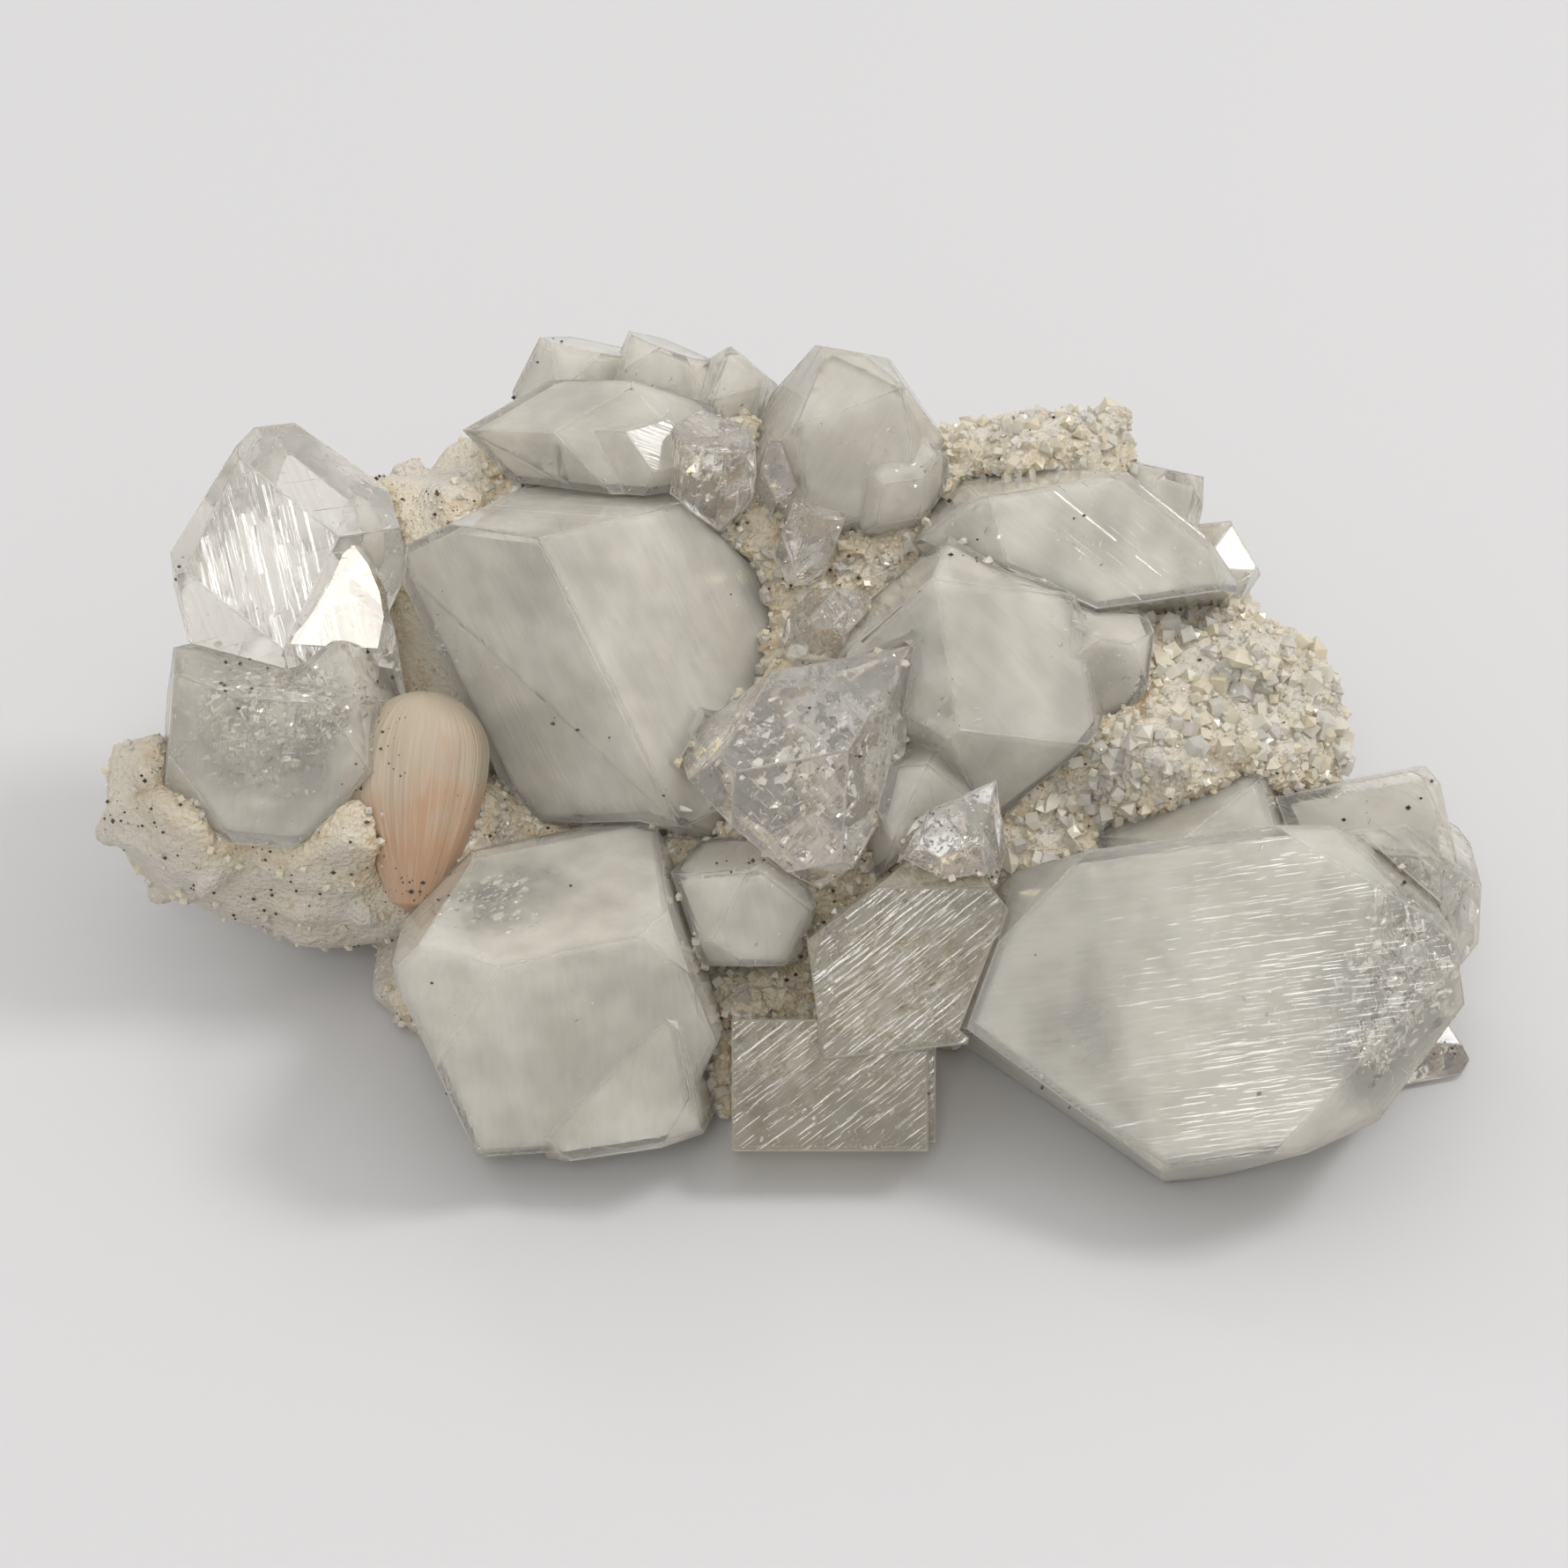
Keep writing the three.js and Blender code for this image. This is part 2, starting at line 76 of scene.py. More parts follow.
Colour = tuple[float, float, float]
Triple = tuple[float, float, float]
Corners = tuple[int, ...]
Spread = list[tuple[Vector, Vector]]
Socket = bpy.types.NodeSocket
Sockets = bpy.types.bpy_prop_collection
Node = bpy.types.Node
Piece = bpy.types.Object
Materials = dict[str, bpy.types.Material]

MM = 0.001
BODY = "root"
MATRIX = "matrix"

# Names of what a mesh tells its material at each point or face.
HAZE = "haze"
FROST = "frost"
STAIN_AND_SHADE = "hollow"
BURIED = "buried"
VEIL = "veil"
GROWN = "grown"

# The show frame leans back: u runs right, v up the face that carries the crystals and w out of it.
SHOW_HEIGHT = 14.5
SHOW_SHIFT = (0.3343, -2.8478)
SHOW_TURN = Matrix.Rotation(math.radians(50), 3, "X")

PYRAMID_SLOPE = math.radians(60.4)
APOPHYLLITE_IOR = 1.535


def show_point(place: Sequence[float]) -> Vector:
    """A place of the show frame, in millimetres, as a place of the row frame, in metres."""
    return (SHOW_TURN @ Vector(place) + Vector((*SHOW_SHIFT, SHOW_HEIGHT))) * MM


def show_direction(heading: float, rise: float = 0.0) -> Vector:
    """The direction that looks a heading round the show face, from +u to +v, and a rise out of it.

    Args:
        heading: in degrees.
        rise: in degrees.

    Returns:
        The unit direction, still along u, v and w.
    """
    turn, lift = math.radians(heading), math.radians(rise)
    return Vector((math.cos(turn) * math.cos(lift), math.sin(turn) * math.cos(lift), math.sin(lift)))


def clamp(value: float, low: float = 0.0, high: float = 1.0) -> float:
    """A value held between low and high."""
    return min(high, max(low, value))


def fractal(point: Vector, size: float, octaves: int = 4) -> float:
    """Smooth noise between about -1 and 1, whose largest waves are size metres long."""
    return noise.fractal(point / size, 1.0, 2.0, octaves)


def drift(rng: random.Random, spread: float) -> Vector:
    """A random step, in any direction."""
    return Vector([rng.gauss(0, spread) for _ in range(3)])


def new_object(name: str, mesh: bpy.types.Mesh) -> Piece:
    """Links a mesh to the scene as an object of its own.

    Args:
        name: the object's name.
        mesh: its mesh, in place.

    Returns:
        The object.
    """
    piece = bpy.data.objects.new(name, mesh)
    bpy.context.scene.collection.objects.link(piece)
    return piece


def settle(mesh: bpy.types.Mesh, slot: str, replaced: Iterable[str] = ()) -> Piece:
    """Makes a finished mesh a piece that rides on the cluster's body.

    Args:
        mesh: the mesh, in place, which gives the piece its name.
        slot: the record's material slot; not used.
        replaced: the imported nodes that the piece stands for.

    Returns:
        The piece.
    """
    piece = new_object(mesh.name, mesh)
    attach(piece, BODY)
    if replaced:
        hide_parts(*replaced)
    LOG.info("%s: %d faces", piece.name, len(mesh.polygons))
    return piece


def mesh_from(name: str, points: Sequence[Vector], faces: Sequence[Corners]) -> bpy.types.Mesh:
    """Makes a mesh.

    Args:
        name: the mesh's name.
        points: in metres.
        faces: as point numbers.

    Returns:
        The mesh.
    """
    mesh = bpy.data.meshes.new(name)
    mesh.from_pydata(np.array(points).tolist(), [], faces)
    mesh.update()
    return mesh


def mark(mesh: bpy.types.Mesh, name: str, values: Sequence[float], domain: str = "POINT") -> None:
    """Stores one number for each point or face of a mesh, for its material to read."""
    mesh.attributes.new(name, "FLOAT", domain).data.foreach_set("value", values)


def map_uv(mesh: bpy.types.Mesh, places: Sequence[Sequence[float]]) -> None:
    """Gives a mesh a UV map, in millimetres, from one place for each of its points in turn.

    Args:
        mesh: the mesh to map.
        places: the points' places, started again where the points outnumber them.
    """
    uv = mesh.uv_layers.new(name="UVMap")
    for loop in mesh.loops:
        uv.data[loop.index].uv = places[loop.vertex_index % len(places)]


def tree_of(pieces: Iterable[Piece]) -> BVHTree:
    """Makes one search tree over the faces of some pieces.

    Args:
        pieces: closed solids.

    Returns:
        The tree.
    """
    points: list[Vector] = []
    faces: list[Corners] = []
    for piece in pieces:
        base = len(points)
        points.extend(vert.co.copy() for vert in piece.data.vertices)
        faces.extend(tuple(base + number for number in face.vertices) for face in piece.data.polygons)
    return BVHTree.FromPolygons(points, faces)


def room_to(place: Vector, tree: BVHTree) -> float:
    """Measures how far a place is from a closed solid, by the way that its nearest face looks.

    Args:
        place: in metres.
        tree: the solid's search tree.

    Returns:
        The distance in metres, below 0 inside the solid.
    """
    nearest, facing, _, room = tree.find_nearest(place)
    return room if (place - nearest).dot(facing) >= 0 else -room


def surface_points(source: Piece, count: int, rng: random.Random) -> Spread:
    """Spreads places evenly at random over a surface.

    Args:
        source: the object whose surface is used.
        count: how many places.
        rng: the random numbers to draw from.

    Returns:
        Each place and the surface's normal there.
    """
    mesh = source.data
    mesh.calc_loop_triangles()
    triangles = mesh.loop_triangles
    areas = np.zeros(len(triangles))
    triangles.foreach_get("area", areas)
    totals = np.cumsum(areas)
    last = len(triangles) - 1
    found = []
    for _ in range(count):
        number = int(np.searchsorted(totals, rng.random() * totals[-1]))
        triangle = triangles[min(number, last)]
        first, second, third = (mesh.vertices[corner].co for corner in triangle.vertices)
        a, b = rng.random(), rng.random()
        if a + b > 1:
            a, b = 1 - a, 1 - b
        found.append((first + (second - first) * a + (third - first) * b, triangle.normal.copy()))
    return found


@dataclass
class Crumbs:
    """Many small forms gathered into one mesh, with the number of each face's finish as its tone."""

    points: list[Vector] = field(default_factory=list)
    faces: list[Corners] = field(default_factory=list)
    tones: list[int] = field(default_factory=list)

    def add(self, points: Sequence[Vector], faces: Sequence[Corners], tone: int = 0) -> None:
        """Adds one form.

        Args:
            points: its corners.
            faces: its faces, as numbers of its own corners.
            tone: the number of its finish.
        """
        base = len(self.points)
        self.points.extend(points)
        self.faces.extend(tuple(base + number for number in face) for face in faces)
        self.tones.extend([tone] * len(faces))

    def settle(self, name: str, slot: str, materials: Iterable[bpy.types.Material]) -> Piece:
        """Makes the piece.

        Args:
            name: its name.
            slot: the record's material slot.
            materials: its finishes, in the order of their numbers.

        Returns:
            The piece.
        """
        mesh = mesh_from(name, self.points, self.faces)
        for material in materials:
            mesh.materials.append(material)
        mesh.polygons.foreach_set("material_index", self.tones)
        return settle(mesh, slot)


# Shader groups ----------------------------------------------------------------------------------


class Wiring:
    """Adds nodes to a node tree, sets their values and links them."""

    def __init__(self, tree: bpy.types.NodeTree) -> None:
        """Keeps the tree that the nodes go into."""
        self.tree = tree

    def feed(self, target: Socket, value: Socket | float | Triple) -> None:
        """Links a socket to an input, or sets the input to a number, colour or vector.

        Args:
            target: the input.
            value: what it gets.
        """
        if isinstance(value, Socket):
            self.tree.links.new(value, target)
        elif isinstance(value, tuple) and len(target.default_value) > len(value):
            target.default_value = (*value, 1.0)
        else:
            target.default_value = value

    def add(self, kind: str, values: dict | None = None, **settings: object) -> Node:
        """Adds a node.

        Args:
            kind: the node's type name, without its ShaderNode.
            values: what feeds its inputs, by their name or number.
            settings: the node's own properties.

        Returns:
            The new node.
        """
        node = self.tree.nodes.new(kind if kind.startswith("Node") else "ShaderNode" + kind)
        for key, value in settings.items():
            setattr(node, key, value)
        for key, value in (values or {}).items():
            self.feed(node.inputs[key], value)
        return node

    def math(self, operation: str, *values: Socket | float) -> Socket:
        """The result of a Math node on numbers or sockets."""
        return self.add("Math", dict(enumerate(values)), operation=operation).outputs[0]

    def ramp(
        self, value: Socket, low: Socket | float, high: Socket | float, shape: str = "SMOOTHSTEP"
    ) -> Socket:
        """A step that rises from 0 at low to 1 at high."""
        inputs = {"Value": value, "From Min": low, "From Max": high}
        return self.add("MapRange", inputs, interpolation_type=shape).outputs["Result"]

    def between(self, share: Socket, low: float, high: float) -> Socket:
        """A value that goes from low to high with a share."""
        inputs = {"Value": share, "To Min": low, "To Max": high}
        return self.add("MapRange", inputs).outputs["Result"]

    def blend(self, amount: Socket, first: Socket | Colour, second: Socket | Colour) -> Socket:
        """Two colours mixed by an amount."""
        return self.add("Mix", {0: amount, 6: first, 7: second}, data_type="RGBA").outputs[2]

    def told(self, name: str) -> Socket:
        """A number that the mesh stores under a name."""
        return self.add("Attribute", attribute_name=name).outputs["Fac"]

    def bump(self, height: Socket, distance: float) -> Socket:
        """The normal that a height in millimetres gives a surface."""
        return self.add("Bump", {"Height": height, "Distance": distance * MM}).outputs["Normal"]


class EffectGroup:
    """A shader node group that several finishes share, built once."""

    name = ""
    inputs: dict[str, float | Triple] = {}
    output = "Mask"

    def __init__(self) -> None:
        """Makes the group's tree, its sockets and its nodes."""
        self.tree = bpy.data.node_groups.new(self.name, "ShaderNodeTree")
        for socket, value in self.inputs.items():
            kind = "NodeSocketVector" if isinstance(value, tuple) else "NodeSocketFloat"
            made = self.tree.interface.new_socket(socket, in_out="INPUT", socket_type=kind)
            made.default_value = value
        self.tree.interface.new_socket(self.output, in_out="OUTPUT", socket_type="NodeSocketFloat")
        wiring = Wiring(self.tree)
        source = wiring.add("NodeGroupInput")
        target = wiring.add("NodeGroupOutput")
        place = wiring.add("TexCoord").outputs["Object"]
        wiring.feed(target.inputs[self.output], self.wire(wiring, source.outputs, place))

    def wire(self, wiring: Wiring, source: Sockets, place: Socket) -> Socket:
        """Builds the nodes.

        Args:
            wiring: writes into the group's tree.
            source: the group's inputs.
            place: object coordinates in metres.

        Returns:
            The socket that feeds the output.
        """
        raise NotImplementedError

    def use(self, wiring: Wiring, **values: Socket | float) -> Socket:
        """Places the group in a material.

        Args:
            wiring: writes into the material's tree.
            values: the group's inputs, with the spaces of their names written as underscores.

        Returns:
            The group's output.
        """
        named = {key.replace("_", " "): value for key, value in values.items()}
        return wiring.add("Group", named, node_tree=self.tree).outputs[self.output]


class MottleGroup(EffectGroup):
    """Soft cloudy zones, with a finer breakup on top."""

    name = "mottle"
    inputs = {"Zone mm": 6.0, "Low": 0.4, "High": 0.6, "Seed": 0.0}

    def wire(self, wiring: Wiring, source: Sockets, place: Socket) -> Socket:
        """Noise of the zone's size through a smooth step. See EffectGroup.wire."""
        scale = wiring.math("DIVIDE", 1000.0, source["Zone mm"])
        moved = wiring.add("VectorMath", {0: place, 1: source["Seed"]}, operation="ADD").outputs[0]
        inputs = {"Vector": moved, "Scale": scale, "Detail": 2.0, "Roughness": 0.6}
        return wiring.ramp(wiring.add("TexNoise", inputs).outputs["Fac"], source["Low"], source["High"])


class SpeckGroup(EffectGroup):
    """Scattered dark mineral dust: round dots that gather in patches."""

    name = "mineral_dust"
    inputs = {"Spacing mm": 1.0, "Dot": 0.2, "Cover": 0.5}

    def wire(self, wiring: Wiring, source: Sockets, place: Socket) -> Socket:
        """Cell dots of uneven size, kept where a patchy noise is high. See EffectGroup.wire."""
        scale = wiring.math("DIVIDE", 1000.0, source["Spacing mm"])
        cells = wiring.add("TexVoronoi", {"Vector": place, "Scale": scale, "Randomness": 1.0}).outputs
        chance = wiring.add("SeparateColor", {"Color": cells["Color"]}).outputs[0]
        dot = wiring.math("LESS_THAN", cells["Distance"], wiring.math("MULTIPLY", source["Dot"], chance))
        patches = wiring.add("TexNoise", {"Vector": place, "Scale": 140.0, "Detail": 3.0}).outputs["Fac"]
        return wiring.math("MULTIPLY", dot, wiring.math("LESS_THAN", patches, source["Cover"]))


class GrainGroup(EffectGroup):
    """Fine unevenness of a mineral surface, as a height."""

    name = "mineral_grain"
    inputs = {"Grain mm": 0.3, "Pit mm": 1.0}
    output = "Height"

    def wire(self, wiring: Wiring, source: Sockets, place: Socket) -> Socket:
        """Fine noise with cell pits. See EffectGroup.wire."""
        fine = wiring.math("DIVIDE", 1000.0, source["Grain mm"])
        coarse = wiring.math("DIVIDE", 1000.0, source["Pit mm"])
        grain = wiring.add("TexNoise", {"Vector": place, "Scale": fine, "Detail": 2.0}).outputs["Fac"]
        pits = wiring.add("TexVoronoi", {"Vector": place, "Scale": coarse}).outputs["Distance"]
        return wiring.math("ADD", grain, pits)


class LinesGroup(EffectGroup):
    """Fine broken lines along the first direction of the piece's UV map, as a height."""

    name = "growth_lines"
    inputs = {"Line mm": 0.15, "Run mm": 3.0}
    output = "Height"

    def wire(self, wiring: Wiring, source: Sockets, place: Socket) -> Socket:
        """Noise drawn out along the lines, in UV units of one millimetre. See EffectGroup.wire."""
        flat = wiring.add("SeparateXYZ", {0: wiring.add("UVMap").outputs["UV"]}).outputs
        run = wiring.math("DIVIDE", flat["X"], source["Run mm"])
        across = wiring.math("DIVIDE", flat["Y"], source["Line mm"])
        joined = wiring.add("CombineXYZ", {"X": run, "Y": across}).outputs[0]
        inputs = {"Vector": joined, "Scale": 1.0, "Detail": 1.0}
        return wiring.add("TexNoise", inputs, noise_dimensions="2D").outputs["Fac"]


class WispGroup(EffectGroup):
    """Fine wisps drawn out along a crystal's long axis."""

    name = "growth_wisps"
    inputs = {"Place": (0.0, 0.0, 0.0), "Line mm": 0.5, "Run mm": 3.0, "Low": 0.3, "High": 0.7}

    def wire(self, wiring: Wiring, source: Sockets, place: Socket) -> Socket:
        """Rough noise over places in millimetres along the crystal's axes. See EffectGroup.wire."""
        across = wiring.math("DIVIDE", 1.0, source["Line mm"])
        along = wiring.math("DIVIDE", 1.0, source["Run mm"])
        scale = wiring.add("CombineXYZ", {"X": along, "Y": across, "Z": across}).outputs[0]
        drawn = wiring.add("VectorMath", {0: source["Place"], 1: scale}, operation="MULTIPLY").outputs[0]
        inputs = {"Vector": drawn, "Scale": 1.0, "Detail": 2.0, "Roughness": 0.7}
        wisps = wiring.add("TexNoise", inputs).outputs["Fac"]
        return wiring.ramp(wisps, source["Low"], source["High"], "LINEAR")


class Effects:
    """The shared shader groups, each built once."""

    def __init__(self) -> None:
        """Builds every group."""
        self.mottle = MottleGroup()
        self.specks = SpeckGroup()
        self.grain = GrainGroup()
        self.lines = LinesGroup()
        self.wisps = WispGroup()


# Finishes ---------------------------------------------------------------------------------------


@dataclass(frozen=True)
class Finish:
    """A node material with a Principled shader, which each kind of finish wires in its own way."""

    name: str

    def build(self, effects: Effects) -> bpy.types.Material:
        """Makes the material.

        Args:
            effects: the shared shader groups.

        Returns:
            The material.
        """
        material = bpy.data.materials.new(self.name)
        material.use_nodes = True
        wiring = Wiring(material.node_tree)
        self.wire(wiring, material.node_tree.nodes["Principled BSDF"].inputs, effects)
        return material

    def wire(self, wiring: Wiring, shader: Sockets, effects: Effects) -> None:
        """Sets and feeds the shader's inputs.

        Args:
            wiring: writes into the material's tree.
            shader: the inputs of its Principled shader.
            effects: the shared shader groups.
        """
        raise NotImplementedError


@dataclass(frozen=True)
class CrystalFinish(Finish):
    """Apophyllite skin: clear, with hazy zones, frosted edges and fine growth lines.

    Attributes:
        light, shade: its colours where it is clear and where it is hazy or ruled.
        line_height, line_width: of its fine lines, in millimetres.
        line_tone: how much the lines show in its colour.
        tint, tint_density: what a thick crystal absorbs, where that is more than nothing.
    """

    light: Colour = (1.0, 0.98, 0.925)
    shade: Colour = (0.97, 0.93, 0.84)
    transmission: float = 0.86
    clear_roughness: float = 0.02
    hazy_roughness: float = 0.13
    frost_roughness: float = 0.3
    haze_tone: float = 0.4
    line_height: float = 0.02
    line_width: float = 0.22
    line_run: float = 2.6
    line_tone: float = 0.4
    tint: Colour = (1.0, 0.96, 0.80)
    tint_density: float = 0.0

    def wire(self, wiring: Wiring, shader: Sockets, effects: Effects) -> None:
        """See Finish.wire."""
        wiring.feed(shader["IOR"], APOPHYLLITE_IOR)
        wiring.feed(shader["Transmission Weight"], self.transmission)
        haze, frost = wiring.told(HAZE), wiring.told(FROST)
        lines = effects.lines.use(wiring, Line_mm=self.line_width, Run_mm=self.line_run)
        ruled = wiring.math("MULTIPLY", wiring.ramp(lines, 0.35, 0.8), self.line_tone)
        tone = wiring.math("ADD", wiring.math("MULTIPLY", haze, self.haze_tone), ruled)
        wiring.feed(shader["Base Color"], wiring.blend(tone, self.light, self.shade))
        hazy = wiring.math("MULTIPLY", haze, self.hazy_roughness)
        rough = wiring.math("MAXIMUM", hazy, wiring.math("MULTIPLY", frost, self.frost_roughness))
        wiring.feed(shader["Roughness"], wiring.math("ADD", rough, self.clear_roughness))
        wiring.feed(shader["Normal"], wiring.bump(lines, self.line_height))
        if self.tint_density:
            inside = wiring.add("VolumeAbsorption", {"Color": self.tint, "Density": self.tint_density})
            output = wiring.tree.nodes["Material Output"]
            wiring.feed(output.inputs["Volume"], inside.outputs["Volume"])


@dataclass(frozen=True)
class MilkFinish(Finish):
    """A milky growth zone inside a crystal: fine inclusions that thin out into clear crystal.

    Attributes:
        light, shade: its colours where it is thick and thin.
        zone: the size of its clouds in millimetres.
        wisp, wisp_run: the width of its wisps in millimetres, and how many widths long they are.
        wisp_share: how much of its thickness the wisps settle.
        thinnest, thickest: how much it covers there.
    """

    light: Colour = (1.0, 0.985, 0.925)
    shade: Colour = (0.975, 0.945, 0.85)
    zone: float = 6.5
    wisp: float = 0.4
    wisp_run: float = 7.0
    wisp_share: float = 0.14
    thinnest: float = 0.4
    thickest: float = 0.88

    def wire(self, wiring: Wiring, shader: Sockets, effects: Effects) -> None:
        """See Finish.wire."""
        wiring.feed(shader["Roughness"], 0.8)
        wiring.feed(shader["Specular IOR Level"], 0.1)
        cloud = effects.mottle.use(wiring, Zone_mm=self.zone, Low=0.25, High=0.7, Seed=5.0)
        place = wiring.add("Attribute", attribute_name=GROWN).outputs["Vector"]
        run = self.wisp * self.wisp_run
        wisps = effects.wisps.use(wiring, Place=place, Line_mm=self.wisp, Run_mm=run)
        fine = wiring.math("MULTIPLY", wisps, self.wisp_share)
        share = wiring.math("MULTIPLY_ADD", cloud, 1.0 - self.wisp_share, fine)
        wiring.feed(shader["Base Color"], wiring.blend(share, self.shade, self.light))
        thick = wiring.between(share, self.thinnest, self.thickest)
        wiring.feed(shader["Alpha"], wiring.math("MULTIPLY", thick, wiring.told(VEIL)))


@dataclass(frozen=True)
class FlakeFinish(Finish):
    """A cleavage crack or fracture film inside a crystal, partly mirror-like unless it is white; the dark
    kind carries a painted dark reflection.
    """

    bright: Colour = (1.0, 0.98, 0.93)
    soft: Colour = (0.97, 0.94, 0.87)
    roughness: float = 0.1
    metallic: float = 0.9

    def wire(self, wiring: Wiring, shader: Sockets, effects: Effects) -> None:
        """See Finish.wire."""
        wiring.feed(shader["Metallic"], self.metallic)
        wiring.feed(shader["Roughness"], self.roughness)
        tone = effects.mottle.use(wiring, Zone_mm=1.2, Low=0.4, High=0.6, Seed=2.0)
        wiring.feed(shader["Base Color"], wiring.blend(tone, self.bright, self.soft))


@dataclass(frozen=True)
class RockFinish(Finish):
    """Rough fine-grained matrix: pale where it is open, tan, stained and dusty towards the crystals, where
    the darkening is partly its stain and partly painted shade.

    Attributes:
        pale, tan, brown, dark: its colours in the open, near the crystals, in the stains there and in its
            dust; towards the crystals they are partly stain and partly painted shade.
        root: its colour under a crystal, where only light from the crystal reaches it, painted near-white:
            painted light that stands in for the light the milky crystal carries down to the rock.
        grain_height: in millimetres.
    """

    pale: Colour = (0.6, 0.56, 0.485)
    tan: Colour = (0.64, 0.54, 0.39)
    brown: Colour = (0.50, 0.375, 0.21)
    dark: Colour = (0.05, 0.04, 0.03)
    root: Colour = (1.0, 0.99, 0.95)
    grain_height: float = 0.16

    def wire(self, wiring: Wiring, shader: Sockets, effects: Effects) -> None:
        """See Finish.wire."""
        wiring.feed(shader["Roughness"], 0.35)
        wiring.feed(shader["Specular IOR Level"], 0.6)
        # Near the crystals the rock is darker and warmer: partly its own stain, partly painted shade
        # between the parts.
        hollow = wiring.told(STAIN_AND_SHADE)
        patch = effects.mottle.use(wiring, Zone_mm=5.0, Low=0.42, High=0.62)
        stain = effects.mottle.use(wiring, Zone_mm=1.6, Low=0.5, High=0.7, Seed=3.0)
        specks = effects.specks.use(wiring, Spacing_mm=0.3, Dot=0.28, Cover=0.45)
        depth = wiring.math("MAXIMUM", hollow, wiring.math("MULTIPLY", patch, 0.35))
        colour = wiring.blend(depth, self.pale, self.tan)
        colour = wiring.blend(wiring.math("MULTIPLY", stain, hollow), colour, self.brown)
        dotted = wiring.math("MULTIPLY", specks, wiring.math("ADD", 0.25, hollow))
        colour = wiring.blend(wiring.math("MINIMUM", dotted, 1.0), colour, self.dark)
        # Rock inside a crystal is painted near-white: painted light that brightens the crystal seen through
        # it.
        wiring.feed(shader["Base Color"], wiring.blend(wiring.told(BURIED), colour, self.root))
        grain = effects.grain.use(wiring, Grain_mm=0.18, Pit_mm=0.45)
        wiring.feed(shader["Normal"], wiring.bump(grain, self.grain_height))


@dataclass(frozen=True)
class DruseFinish(Finish):
    """Small druse crystals: sugary, half clear, white to warm beige."""

    light: Colour
    shade: Colour
    transmission: float = 0.4
    roughness: float = 0.2

    def wire(self, wiring: Wiring, shader: Sockets, effects: Effects) -> None:
        """See Finish.wire."""
        wiring.feed(shader["IOR"], APOPHYLLITE_IOR)
        wiring.feed(shader["Transmission Weight"], self.transmission)
        wiring.feed(shader["Roughness"], self.roughness)
        zone = effects.mottle.use(wiring, Zone_mm=1.8, Low=0.4, High=0.6, Seed=6.0)
        wiring.feed(shader["Base Color"], wiring.blend(zone, self.light, self.shade))


@dataclass(frozen=True)
class SheafFinish(Finish):
    """Silky peach stilbite: paler at the head, streaked along its blades, with dark dust."""

    peach: Colour = (0.48, 0.30, 0.185)
    pale: Colour = (0.46, 0.385, 0.285)
    streak: Colour = (0.54, 0.44, 0.33)
    dust: Colour = (0.09, 0.06, 0.045)
    head: tuple[float, float] = (8.0, 14.5)
    fibre_height: float = 0.05

    def wire(self, wiring: Wiring, shader: Sockets, effects: Effects) -> None:
        """See Finish.wire."""
        wiring.feed(shader["Roughness"], 0.42)
        wiring.feed(shader["Subsurface Weight"], 0.35)
        wiring.feed(shader["Subsurface Scale"], 1.5 * MM)
        wiring.feed(shader["Subsurface Radius"], (1.0, 0.6, 0.4))
        wiring.feed(shader["Sheen Weight"], 0.15)
        along = wiring.add("SeparateXYZ", {0: wiring.add("UVMap").outputs["UV"]}).outputs["X"]
        cloud = effects.mottle.use(wiring, Zone_mm=5.0, Low=0.3, High=0.7, Seed=9.0)
        moved = wiring.math("ADD", along, wiring.math("MULTIPLY", cloud, 5.0))
        lines = effects.lines.use(wiring, Line_mm=0.2, Run_mm=4.0)
        fibre = wiring.math("MULTIPLY", wiring.ramp(lines, 0.45, 0.75), 0.5)
        colour = wiring.blend(wiring.ramp(moved, *self.head), self.peach, self.pale)
        colour = wiring.blend(fibre, colour, self.streak)
        specks = effects.specks.use(wiring, Spacing_mm=0.4, Dot=0.24, Cover=0.44)
        wiring.feed(shader["Base Color"], wiring.blend(specks, colour, self.dust))
        wiring.feed(shader["Normal"], wiring.bump(lines, self.fibre_height))


@dataclass(frozen=True)
class GrainFinish(Finish):
    """Near-black mineral grains."""

    black: Colour = (0.02, 0.018, 0.015)
    brown: Colour = (0.10, 0.07, 0.04)

    def wire(self, wiring: Wiring, shader: Sockets, effects: Effects) -> None:
        """See Finish.wire."""
        wiring.feed(shader["Roughness"], 0.45)
        tone = effects.mottle.use(wiring, Zone_mm=0.6, Low=0.4, High=0.6)
        wiring.feed(shader["Base Color"], wiring.blend(tone, self.black, self.brown))


@dataclass(frozen=True)
class FloorFinish(Finish):
    """A pale matt table top."""

    colour: Colour = (0.572, 0.566, 0.567)

    def wire(self, wiring: Wiring, shader: Sockets, effects: Effects) -> None:
        """See Finish.wire."""
        wiring.feed(shader["Roughness"], 0.55)
        wiring.feed(shader["Base Color"], self.colour)


CLEAR_SKIN = {
    "light": (1.0, 1.0, 0.98),
    "shade": (0.99, 0.98, 0.94),
    "transmission": 0.9,
    "tint_density": 4.0,
}
WARM_SKIN = {"light": (0.84, 0.80, 0.69), "shade": (0.72, 0.66, 0.52), "line_tone": 1.0}

